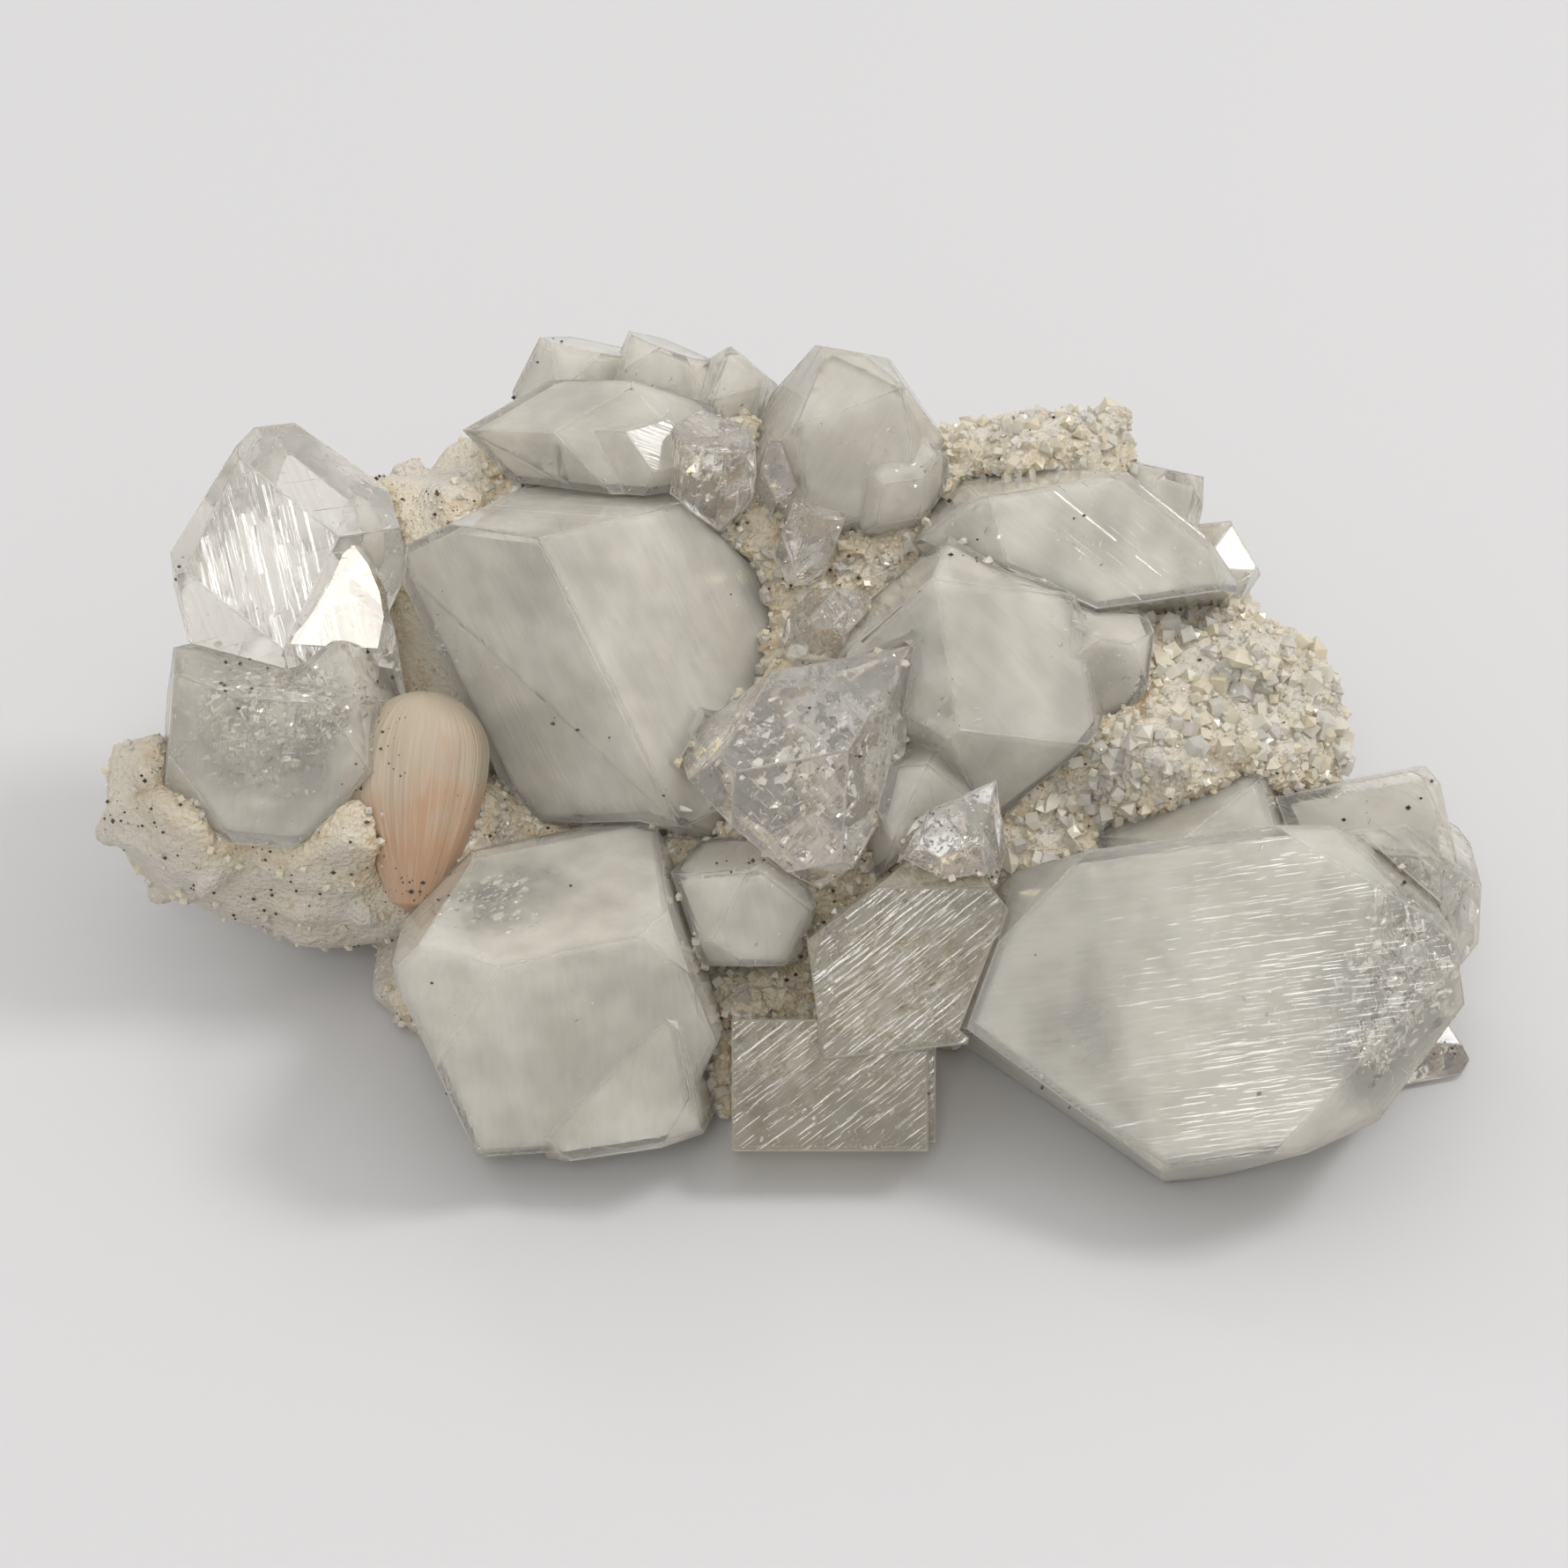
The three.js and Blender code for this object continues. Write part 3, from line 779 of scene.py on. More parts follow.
FINISHES = (
    CrystalFinish("milky_striated"),
    CrystalFinish("milky_faced", line_height=0.006, line_width=0.6),
    CrystalFinish("clear_striated", hazy_roughness=0.07, line_height=0.008, **CLEAR_SKIN),
    CrystalFinish("clear_faced", hazy_roughness=0.05, line_height=0.004, line_width=0.6, **CLEAR_SKIN),
    CrystalFinish("warm_striated", line_height=0.02, **WARM_SKIN),
    CrystalFinish("warm_faced", line_height=0.01, **WARM_SKIN),
    MilkFinish("milk"),
    MilkFinish("milk_thin", thinnest=0.2, thickest=0.6),
    MilkFinish("milk_dense", wisp=0.35, thinnest=0.4, thickest=0.8),
    FlakeFinish("flake"),
    # Dark cracks: a painted dark reflection, standing in for dark surroundings mirrored in the cracks.
    FlakeFinish("flake_painted_dark", (0.42, 0.37, 0.29), (0.2, 0.16, 0.11), 0.2),
    FlakeFinish("flake_white", (1.0, 0.99, 0.95), (1.0, 0.97, 0.90), 0.5, 0.0),
    RockFinish("matrix_rock"),
    DruseFinish("druse_clear", (1.0, 0.98, 0.93), (0.96, 0.92, 0.82), transmission=0.6),
    DruseFinish("druse_white", (0.94, 0.90, 0.79), (0.91, 0.85, 0.72)),
    DruseFinish("druse_beige", (0.93, 0.86, 0.70), (0.89, 0.79, 0.60)),
    SheafFinish("stilbite_silk"),
    GrainFinish("dark_mineral"),
    FloorFinish("studio_floor"),
)


# Crystals ---------------------------------------------------------------------------------------

# Two normals count as the same above these cosines of the angle between them.
SAME_PLANE = 0.9998
SAME_FACE = 0.9995
SAME_CORNER = 0.999

# Millimetres, but for the smallest face that is ruled, in square millimetres.
WELD = 0.02
SMALLEST_FACE = 0.5
LONGEST_EDGE = 1.3
CRACK_ROOM = (0.12, 7.0)
CRACK_DEPTHS = (0.3, 1.6)
SURFACE_CRACK = 0.3

# How often a crack leaves the cleavage, and how often a growth line changes depth where it may.
STRAY_CRACKS = 0.6
LINE_BREAKS = 0.3


class FaceKind(Enum):
    """What a crystal's face is, which sets the growth lines that it carries."""

    PRISM = "prism"
    PYRAMID = "pyramid"
    BASE = "base"
    BROKEN = "broken"


@dataclass(frozen=True)
class LineStyle:
    """How a face is ruled with growth lines, in millimetres."""

    spacing: float
    depth: float
    breaks: float
    rim: float = 0.12
    riser: float = 0.025


LINE_STYLES = {
    FaceKind.PRISM: LineStyle(spacing=0.42, depth=0.07, breaks=2.8),
    FaceKind.PYRAMID: LineStyle(spacing=1.6, depth=0.04, breaks=3.0),
    FaceKind.BASE: LineStyle(spacing=1.5, depth=0.03, breaks=3.0),
    FaceKind.BROKEN: LineStyle(spacing=1.3, depth=0.05, breaks=2.0),
}


@dataclass(frozen=True)
class Growth:
    """One individual of a crystal group, by the way that its long axis points in the show frame."""

    heading: float
    rise: float = 0.0
    spin: float = 0.0

    def axes(self) -> tuple[Vector, Vector, Vector]:
        """The long axis and the two side axes in the row frame."""
        turn = (
            SHOW_TURN
            @ Matrix.Rotation(math.radians(self.heading), 3, "Z")
            @ Matrix.Rotation(math.radians(-self.rise), 3, "Y")
            @ Matrix.Rotation(math.radians(self.spin), 3, "X")
        )
        return turn.col[0].copy(), turn.col[1].copy(), turn.col[2].copy()

    def kind_of(self, normal: Vector) -> FaceKind | None:
        """Tells what kind of face looks a given way on this individual.

        Args:
            normal: the face's normal.

        Returns:
            The kind, or None where no face of the individual looks that way.
        """
        along, aside, ahead = (abs(normal.dot(axis)) for axis in self.axes())
        if max(aside, ahead) > SAME_FACE:
            return FaceKind.PRISM
        if along > SAME_FACE:
            return FaceKind.BASE
        if abs(along - math.cos(PYRAMID_SLOPE)) < 0.004 and abs(aside - ahead) < 0.01:
            return FaceKind.PYRAMID
        return None


@dataclass(frozen=True)
class Flaw:
    """A cluster of cracks inside a crystal.

    Attributes:
        at: its centre in the show frame.
        reach: how far it spreads, in millimetres.
        count: how many cracks it has.
        size: half width of the largest crack, in millimetres.
        clears: whether the crystal's milk thins out round it.
    """

    at: Triple
    reach: float
    count: int
    size: float = 0.6
    clears: bool = False


@dataclass(frozen=True)
class MilkZone:
    """A milky growth zone: what lies behind a skin of clear crystal and behind every boundary plane.

    Attributes:
        skin: thickness of the clear skin in millimetres.
        boundaries: for each, a place in the show frame with the heading and rise that it faces.
        finish: name of its finish.
        smoothing: how often its edges are rounded.
        ripple: how uneven it is, in millimetres.
    """

    skin: float = 0.5
    boundaries: tuple[tuple[Triple, float, float], ...] = ()
    finish: str = "milk"
    smoothing: int = 0
    ripple: float = 0.12


@dataclass
class Crystal:
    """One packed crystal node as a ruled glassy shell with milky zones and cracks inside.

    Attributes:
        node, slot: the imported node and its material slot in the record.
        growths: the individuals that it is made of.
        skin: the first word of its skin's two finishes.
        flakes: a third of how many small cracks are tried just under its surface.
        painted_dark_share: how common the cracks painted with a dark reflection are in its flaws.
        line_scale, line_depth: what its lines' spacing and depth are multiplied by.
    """

    node: str
    growths: tuple[Growth, ...]
    zones: tuple[MilkZone, ...] = (MilkZone(),)
    flaws: tuple[Flaw, ...] = ()
    slot: str = "apophyllite"
    skin: str = "milky"
    flakes: int = 90
    painted_dark_share: float = 0.13
    line_scale: float = 1.0
    line_depth: float = 0.7

    def build(self, frame: dict, materials: Materials) -> None:
        """Makes the crystal's pieces.

        Args:
            materials: the finished materials by name.
        """
        solid = frame["nodes"][self.node]
        self._shell(solid, materials)
        for number, zone in enumerate(self.zones, 1):
            self._milk(f"{self.node}_milk_{number}", zone, solid, materials)
        self._cracks(solid, materials)

    def _shell(self, solid: Piece, materials: Materials) -> None:
        """Makes the faceted skin that stands for the node.

        Args:
            solid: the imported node.
            materials: the finished materials by name.
        """
        rng = random.Random(self.node)
        bm = self._facets(solid)
        tag = bm.faces.layers.int.new("ruling")
        inner = bm.faces.layers.int.new("inner")
        rulings = [(Vector((1, 0, 0)), Vector((0, 1, 0)))]
        for faces, normal, kind, axis in self._groups(bm):
            along = self._line_way(normal, kind, axis)
            across = normal.cross(along)
            rulings.append((along, across))
            for face in faces:
                face[tag] = len(rulings) - 1
            self._rule(bm, faces, normal, along, across, LINE_STYLES[kind], rng)
            for face in faces:
                face.material_index = 0 if kind is FaceKind.PRISM else 1
                face[inner] = 1
        bmesh.ops.triangulate(bm, faces=bm.faces)
        uv = bm.loops.layers.uv.new("UVMap")
        for face in bm.faces:
            along, across = rulings[face[tag]]
            for loop in face.loops:
                loop[uv].uv = (loop.vert.co.dot(along) / MM, loop.vert.co.dot(across) / MM)
        mesh = self._mesh(bm, self.node + "_shell")
        mark(mesh, HAZE, [clamp(0.5 + 1.2 * fractal(vert.co, 5 * MM, 2)) for vert in mesh.vertices])
        ruled = mesh.attributes["inner"].data
        mark(mesh, FROST, [1.0 - ruled[face.index].value for face in mesh.polygons], "FACE")
        mesh.materials.append(materials[self.skin + "_striated"])
        mesh.materials.append(materials[self.skin + "_faced"])
        settle(mesh, self.slot, [self.node])

    @staticmethod
    def _facets(solid: Piece) -> bmesh.types.BMesh:
        """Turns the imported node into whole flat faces.

        Args:
            solid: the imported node.

        Returns:
            The faces, in a mesh of their own.
        """
        bm = bmesh.new()
        bm.from_mesh(solid.data)
        bmesh.ops.remove_doubles(bm, verts=bm.verts, dist=WELD * MM)
        bmesh.ops.dissolve_limit(bm, angle_limit=math.radians(0.6), verts=bm.verts, edges=bm.edges)
        bm.normal_update()
        return bm

    @staticmethod
    def _mesh(bm: bmesh.types.BMesh, name: str) -> bpy.types.Mesh:
        """Ends the editing of a mesh.

        Args:
            bm: the edited mesh, which is freed.
            name: name of the new mesh.

        Returns:
            The new mesh.
        """
        mesh = bpy.data.meshes.new(name)
        bm.to_mesh(mesh)
        bm.free()
        return mesh

    def _groups(self, bm: bmesh.types.BMesh) -> list[tuple[list, Vector, FaceKind, Vector]]:
        """Gathers neighbouring faces that lie in one plane, largest first.

        Args:
            bm: the cleaned crystal.

        Returns:
            The faces, their normal, what kind they are and the long axis that they belong to.
        """
        left = set(bm.faces)
        groups = []
        for start in sorted(bm.faces, key=lambda f: (-round(f.calc_area() * 1e9), f.index)):
            if start not in left:
                continue
            left.discard(start)
            group, stack = [start], [start]
            while stack:
                for other in [face for edge in stack.pop().edges for face in edge.link_faces]:
                    if other in left and other.normal.dot(start.normal) > SAME_PLANE:
                        left.discard(other)
                        group.append(other)
                        stack.append(other)
            if sum(face.calc_area() for face in group) < SMALLEST_FACE * MM * MM:
                continue
            normal = start.normal.copy()
            kinds = [(growth.kind_of(normal), growth.axes()[0]) for growth in self.growths]
            kind, axis = next((found for found in kinds if found[0]), (FaceKind.BROKEN, kinds[0][1]))
            groups.append((group, normal, kind, axis))
        return groups

    @staticmethod
    def _line_way(normal: Vector, kind: FaceKind, axis: Vector) -> Vector:
        """Finds the way that a face's growth lines run.

        Args:
            normal: the face's normal.
            kind: what kind of face it is.
            axis: the long axis that it belongs to.

        Returns:
            A unit direction in the face: along the axis on a prism or broken face, across it on the rest.
        """
        least = 0.2
        along = axis - axis.dot(normal) * normal if kind in (FaceKind.PRISM, FaceKind.BROKEN) else Vector()
        if along.length < least:
            along = normal.cross(axis) if normal.cross(axis).length > least else normal.orthogonal()
        return along.normalized()

    def _rule(
        self,
        bm: bmesh.types.BMesh,
        faces: list,
        normal: Vector,
        along: Vector,
        across: Vector,
        style: LineStyle,
        rng: random.Random,
    ) -> None:
        """Cuts a flat face into strips of slightly different depth and slope, which are its growth lines.

        Args:
            bm: the crystal.
            faces: the faces of one plane; the list is updated to the strips.
            normal: the plane's normal.
            along: the direction of the lines.
            across: the direction from line to line.
            style: spacing, depth and breaks of the lines.
            rng: the crystal's own random numbers.
        """
        bmesh.ops.inset_region(bm, faces=faces, thickness=style.rim * MM, use_even_offset=True)
        spans = [vert.co.dot(across) for face in faces for vert in face.verts]
        runs = [vert.co.dot(along) for face in faces for vert in face.verts]
        lines = self._marks(min(spans), max(spans), style.spacing * MM * self.line_scale, rng)
        ends = self._marks(min(runs), max(runs), style.breaks * MM, rng)
        riser = style.riser * MM
        for direction, places in ((across, lines), (along, ends)):
            for place in places:
                self._cut(bm, faces, direction, place)
                self._cut(bm, faces, direction, place + riser)
        depth = style.depth * self.line_depth * MM
        table = self._depths(len(lines) + 1, len(ends) + 1, depth, rng)
        bounds = [min(spans), *lines, max(spans)]
        for vert in {vert for face in faces for vert in face.verts}:
            t, s = vert.co.dot(across), vert.co.dot(along)
            strip = sum(1 for place in lines if t > place + 0.5 * riser)
            part = sum(1 for place in ends if s > place + 0.5 * riser)
            left, right = table[strip][part]
            share = (t - bounds[strip]) / max(bounds[strip + 1] - bounds[strip], 1e-9)
            vert.co -= normal * (left + (right - left) * clamp(share))

    @staticmethod
    def _marks(low: float, high: float, spacing: float, rng: random.Random) -> list[float]:
        """Chooses unevenly spaced places.

        Args:
            low, high: where they start and end, in metres.
            spacing: how far apart they lie, in metres.
            rng: the random numbers to draw from.

        Returns:
            The places.
        """
        marks = []
        place = low + spacing * rng.uniform(0.3, 1.2)
        while place < high - 0.2 * spacing:
            marks.append(place)
            place += spacing * rng.choice((0.35, 0.6, 0.8, 1.0, 1.3, 1.9))
        return marks

    @staticmethod
    def _depths(
        strips: int, parts: int, depth: float, rng: random.Random
    ) -> list[list[tuple[float, float]]]:
        """Chooses how deep both edges of each strip lie.

        Args:
            strips: how many strips there are.
            parts: how many parts each may break into.
            depth: the greatest depth in metres.
            rng: the random numbers to draw from.

        Returns:
            For each strip, the two depths of each of its parts.
        """

        def edges() -> tuple[float, float]:
            """The depths of a part's two edges."""
            return rng.uniform(0.1, 1.0) * depth, rng.uniform(0.1, 1.0) * depth

        table = []
        for _ in range(strips):
            row = []
            pair = edges()
            for _ in range(parts):
                if rng.random() < LINE_BREAKS:
                    pair = edges()
                row.append(pair)
            table.append(row)
        return table

    @staticmethod
    def _cut(bm: bmesh.types.BMesh, faces: list, direction: Vector, place: float) -> None:
        """Cuts the faces that a plane crosses.

        Args:
            bm: the crystal.
            faces: the faces, updated to what they are cut into.
            direction: the plane's normal.
            place: how far along it the plane lies, in metres.
        """
        near = 1e-8
        crossed, clear = [], []
        for face in faces:
            sides = [vert.co.dot(direction) - place for vert in face.verts]
            (crossed if min(sides) < -near and max(sides) > near else clear).append(face)
        if not crossed:
            return
        geometry = set(crossed)
        for face in crossed:
            geometry.update(face.edges)
            geometry.update(face.verts)
        result = bmesh.ops.bisect_plane(
            bm, geom=list(geometry), dist=near, plane_co=direction * place, plane_no=direction
        )
        faces[:] = clear + [item for item in result["geom"] if isinstance(item, bmesh.types.BMFace)]

    def _milk(self, name: str, zone: MilkZone, solid: Piece, materials: Materials) -> None:
        """Makes one milky growth zone inside the crystal.

        Args:
            name: name of the piece.
            zone: the zone.
            solid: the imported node.
            materials: the finished materials by name.
        """
        bm = self._facets(solid)
        self._sink(bm, zone.skin * MM)
        for place, heading, rise in zone.boundaries:
            cut = bmesh.ops.bisect_plane(
                bm,
                geom=[*bm.verts, *bm.edges, *bm.faces],
                plane_co=show_point(place),
                plane_no=SHOW_TURN @ show_direction(heading, rise),
                clear_outer=True,
            )
            rim = [item for item in cut["geom_cut"] if isinstance(item, bmesh.types.BMEdge)]
            bmesh.ops.edgeloop_fill(bm, edges=rim)
        self._soften(bm, zone)
        mesh = self._mesh(bm, name)
        if not mesh.polygons:
            return
        mesh.materials.append(materials[zone.finish])
        mesh.shade_smooth()
        axes = np.array([list(axis) for axis in self.growths[0].axes()])
        places = np.array([list(vert.co) for vert in mesh.vertices]) / MM
        grown = mesh.attributes.new(GROWN, "FLOAT_VECTOR", "POINT")
        grown.data.foreach_set("vector", (places @ axes.T).ravel())
        mark(mesh, VEIL, [self._veil(vert.co) for vert in mesh.vertices])
        settle(mesh, self.slot)

    def _veil(self, place: Vector) -> float:
        """How milky the crystal is at a place: 1, but less round the flaws that clear it."""
        reaches = [
            (place - show_point(flaw.at)).length / (2 * flaw.reach * MM)
            for flaw in self.flaws
            if flaw.clears
        ]
        return clamp(min(reaches, default=2.0) ** 2 + 0.7 * fractal(place, 4 * MM, 3))

    @staticmethod
    def _sink(bm: bmesh.types.BMesh, depth: float) -> None:
        """Moves every flat face inwards, with its corners kept sharp.

        Args:
            bm: the crystal.
            depth: how far, in metres.
        """
        moves = {}
        for vert in bm.verts:
            normals: list[Vector] = []
            for face in vert.link_faces:
                if all(face.normal.dot(known) < SAME_CORNER for known in normals):
                    normals.append(face.normal.copy())
            if normals:
                step = np.linalg.lstsq(np.array(normals), np.full(len(normals), -depth), rcond=0.05)[0]
                length = float(np.linalg.norm(step))
                moves[vert] = Vector(step) * min(1.0, 3.0 * depth / max(length, 1e-9))
        for vert, step in moves.items():
            vert.co += step

    @staticmethod
    def _soften(bm: bmesh.types.BMesh, zone: MilkZone) -> None:
        """Divides a milky zone finely, rounds its edges and makes it slightly uneven.

        Args:
            bm: the zone's solid.
            zone: the zone.
        """
        bmesh.ops.triangulate(bm, faces=bm.faces)
        for _ in range(5):
            long = [edge for edge in bm.edges if edge.calc_length() > LONGEST_EDGE * MM]
            bmesh.ops.subdivide_edges(bm, edges=long, cuts=1, use_grid_fill=True)
            bmesh.ops.triangulate(bm, faces=bm.faces)
        every_way = {"use_axis_x": True, "use_axis_y": True, "use_axis_z": True}
        for _ in range(zone.smoothing):
            bmesh.ops.smooth_vert(bm, verts=bm.verts, factor=0.5, **every_way)
        bm.normal_update()
        ripple = zone.ripple * MM
        moves = [vert.normal * (ripple * (fractal(vert.co, 3 * MM, 3) - 0.3)) for vert in bm.verts]
        for vert, move in zip(bm.verts, moves):
            vert.co += move

    def _cracks(self, solid: Piece, materials: Materials) -> None:
        """Scatters small cracks under the surface and in the flaws, two in five of them along the cleavage.

        Args:
            solid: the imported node.
            materials: the finished materials by name.
        """
        rng = random.Random(self.node + "cracks")
        tree = tree_of([solid])
        places = [
            (place - normal * rng.uniform(*CRACK_DEPTHS) * MM, SURFACE_CRACK)
            for place, normal in surface_points(solid, self.flakes * 3, rng)
        ]
        for flaw in self.flaws:
            centre = show_point(flaw.at)
            places += [(centre + drift(rng, 0.5) * flaw.reach * MM, flaw.size) for _ in range(flaw.count)]
        cracks = Crumbs()
        cleavage = [growth.axes()[0] for growth in self.growths]
        least, most = (room * MM for room in CRACK_ROOM)
        for place, largest in places:
            nearest, normal, _, room = tree.find_nearest(place)
            if (place - nearest).dot(normal) > 0 or not least <= room <= most:
                continue
            size = min(largest * (0.25 + 0.75 * rng.random() ** 1.5) * MM, 0.9 * room)
            facing = rng.choice(cleavage) + drift(rng, 0.15)
            if rng.random() < STRAY_CRACKS:
                facing = drift(rng, 1)
            corners = self._crack(place, facing.normalized(), size, rng)
            count = len(corners) - 1
            faces = [(0, 1 + number, 1 + (number + 1) % count) for number in range(count)]
            # Only flaw cracks may take the dark finish, a painted dark reflection.
            dark = self.painted_dark_share if largest > SURFACE_CRACK else 0.0
            cracks.add(corners, faces, rng.choices((0, 1, 2), (0.4, dark, 0.6))[0])
        if cracks.faces:
            finishes = [materials[name] for name in ("flake", "flake_painted_dark", "flake_white")]
            cracks.settle(self.node + "_cracks", self.slot, finishes)

    @staticmethod
    def _crack(place: Vector, facing: Vector, size: float, rng: random.Random) -> list[Vector]:
        """Shapes one shallow, ragged flake.

        Args:
            place: its centre.
            facing: the direction that it faces.
            size: its half width in metres.
            rng: the crystal's own random numbers.

        Returns:
            Its middle, and the corners round it.
        """
        side = facing.orthogonal().normalized()
        front = facing.cross(side)
        turn = rng.uniform(0, math.tau)
        count = rng.randint(5, 8)
        corners = [place + facing * size * 0.1]
        for number in range(count):
            angle = turn + math.tau * (number + rng.uniform(-0.3, 0.3)) / count
            reach = size * rng.uniform(0.4, 1.0)
            corners.append(place + (side * math.cos(angle) + front * math.sin(angle) * 0.6) * reach)
        return corners


CLEAR = {"zones": (), "slot": "clear_apophyllite", "skin": "clear", "flakes": 50}

CRYSTALS = (
    Crystal(
        "point_crystal", (Growth(48, 8, 15),), (),
        (
            Flaw((0.0, 1.0, 9.5), 3.6, 170, 0.8), Flaw((-2.2, 3.4, 8.5), 2.0, 80, 0.7),
            Flaw((4.5, 2.5, 8), 2.2, 60, 0.6),
        ),
        slot="clear_apophyllite", skin="clear", flakes=80, painted_dark_share=0.08,
    ),
    Crystal(
        "front_left_crystal", (Growth(97, 30, 10), Growth(100, 8, -8)),
        (MilkZone(0.6), MilkZone(1.2, (((-15.0, -13.5, 17.0), 80, 0),), smoothing=3, ripple=0.5)),
        (
            Flaw((-22.5, -8.5, 12.5), 2.4, 160, 0.6), Flaw((-19.5, -6.8, 10.8), 2.6, 160, 0.7, True),
            Flaw((-17.2, -9.6, 15.5), 2.6, 130, 0.5), Flaw((-14.8, -13.4, 16.6), 1.8, 60, 0.4),
            Flaw((-20.0, -16.0, 14.0), 4.0, 60, 0.3),
        ),
    ),
    Crystal(
        "big_crystal", (Growth(8, 8, -12), Growth(20, 15, 25)),
        (
            MilkZone(0.7, (((44.0, -10.0, 10.0), 8, 0),), "milk_thin"),
            MilkZone(
                0.9, (((20.7, -11.6, 14.4), 188, 0), ((20.7, -11.6, 14.4), 195.4, 0)), "milk_dense", 2, 0.4
            ),
        ),
        (
            Flaw((40.0, -11.0, 16.4), 3.8, 900, 1.0, True),
            Flaw((38.6, -16.2, 16.7), 2.4, 320, 0.8, True), Flaw((32.0, -15.0, 16.4), 2.8, 220, 0.45),
            Flaw((27.0, -9.0, 15.0), 4.5, 60, 0.3),
        ),
        line_depth=0.2,
    ),
    Crystal(
        "upper_left_crystal", (Growth(103, 0, 8),), (MilkZone(2.2, (((-30.5, 17.0, 2.0), 193, 0),)),),
        (Flaw((-32.0, 12.0, 0.8), 2.0, 60, 0.5),), line_scale=0.7, line_depth=0.95,
    ),
    Crystal(
        "front_pair", (Growth(38), Growth(90)), (),
        (Flaw((9.5, -13.5, 12.0), 1.8, 60, 0.5), Flaw((5.0, -22.5, 11.5), 3.6, 90, 0.4)), skin="warm",
        line_scale=0.7, line_depth=0.22,
    ),
    Crystal(
        "centre_crystal", (Growth(-64, -5, 42),),
        (
            MilkZone(0.6),
            MilkZone(
                1.2,
                (((-9.8, 17.6, 2.7), 97, 0), ((-5.2, 15.4, 0.0), 44, 0), ((-12.6, 14.0, 7.6), 160, 0)),
                smoothing=3,
                ripple=0.4,
            ),
        ),
        (
            Flaw((-23.6, 11.2, 2.0), 2.6, 150, 0.55), Flaw((-20.4, 8.6, 3.4), 2.0, 70, 0.4),
            Flaw((-11.0, 6.0, 6.0), 4.0, 60, 0.3),
        ),
    ),
    Crystal(
        "lower_left_crystal", (Growth(82, 20, 10), Growth(30, 25, 20)), (MilkZone(0.7),),
        (
            Flaw((-36.0, 5.5, 3.8), 4.2, 520, 0.7, True), Flaw((-30.6, 6.6, 3.8), 2.6, 380, 0.8),
            Flaw((-36.0, 0.0, 5.0), 3.2, 120, 0.5),
        ),
    ),
    Crystal(
        "right_top_crystal", (Growth(-38, -5, -15),), (MilkZone(0.55),),
        (
            Flaw((14.5, 18.2, 1.8), 2.8, 160, 0.6), Flaw((20.0, 17.0, 3.2), 2.6, 160, 0.6),
            Flaw((26.5, 15.6, 1.0), 2.4, 70, 0.5),
        ),
    ),
    Crystal(
        "top_crystal", (Growth(58, 15, 15), Growth(45, 10, 20)), (MilkZone(0.55),),
        (Flaw((5.0, 25.0, -2.6), 2.6, 90, 0.6), Flaw((8.6, 22.0, -2.0), 1.8, 120, 0.5)),
    ),
    Crystal(
        "right_middle_crystal", (Growth(135, 10, 20), Growth(70, 30, 20), Growth(100, 20, 25)),
        (MilkZone(0.55),),
        (
            Flaw((19.6, 10.6, 6.2), 2.8, 200, 0.6), Flaw((10.6, 5.2, 8.6), 2.0, 90, 0.6),
            Flaw((23.0, 8.0, 4.6), 2.0, 90, 0.5), Flaw((8.4, -2.0, 7.6), 2.2, 80, 0.5),
        ),
    ),
    Crystal(
        "right_end_crystal", (Growth(-27, 5, 10), Growth(-40, 5, 20)), (MilkZone(0.7),),
        (Flaw((43.0, -7.0, 6.0), 2.6, 220, 0.7, True), Flaw((39.0, -3.6, 5.4), 2.6, 90, 0.5)),
    ),
    Crystal(
        "front_small_crystal", (Growth(100, 20, 20),), (MilkZone(0.55),),
        (Flaw((-2.6, -5.4, 10.8), 1.6, 70, 0.5),),
    ),
    Crystal(
        "top_left_crystal", (Growth(172, 5, 5), Growth(160, 12, 24)), (MilkZone(0.55),),
        (Flaw((-10.6, 23.6, -3.4), 2.6, 120, 0.5), Flaw((-17.6, 23.0, -4.4), 2.4, 80, 0.5)),
    ),
    Crystal(
        "back_left_crystal", (Growth(80, 10, 25), Growth(70, 10, 10), Growth(50, 5, 30)),
        (MilkZone(0.6),),
        (Flaw((-9.0, 29.0, -9.5), 2.4, 90, 0.5), Flaw((-4.4, 28.0, -9.8), 1.8, 90, 0.5)),
    ),
    Crystal("back_right_crystal", (Growth(78, 5, 10), Growth(30, 5, 35)), (MilkZone(0.8),)),
    Crystal("rear_crystal", (Growth(60, -52, 20), Growth(20, -50, 50)), (MilkZone(0.5),)),
    Crystal("rear_left_crystal", (Growth(130, -50, 10), Growth(160, -35, 40)), (MilkZone(0.3),)),
    Crystal(
        "clear_crystal_1", (Growth(80, 30, 20),), flaws=(Flaw((-5.2, 22.0, 0.0), 1.8, 120, 0.6),), **CLEAR
    ),
    Crystal(
        "clear_crystal_2", (Growth(75, 10, 5),), flaws=(Flaw((-0.3, 23.2, -2.0), 1.0, 60, 0.5),), **CLEAR
    ),
    Crystal("clear_crystal_3", (Growth(70, 20),), **CLEAR),
    Crystal(
        "clear_crystal_4", (Growth(30, 25, 30),), flaws=(Flaw((3.4, 12.0, 2.4), 1.4, 50, 0.4),), **CLEAR
    ),
    Crystal(
        "clear_crystal_5", (Growth(60, 10, 20),), flaws=(Flaw((11.2, -3.6, 12.0), 1.8, 120, 0.5),), **CLEAR
    ),
    Crystal("clear_crystal_6", (Growth(60, 0, 20), Growth(30, 0, 30)), **CLEAR),
)


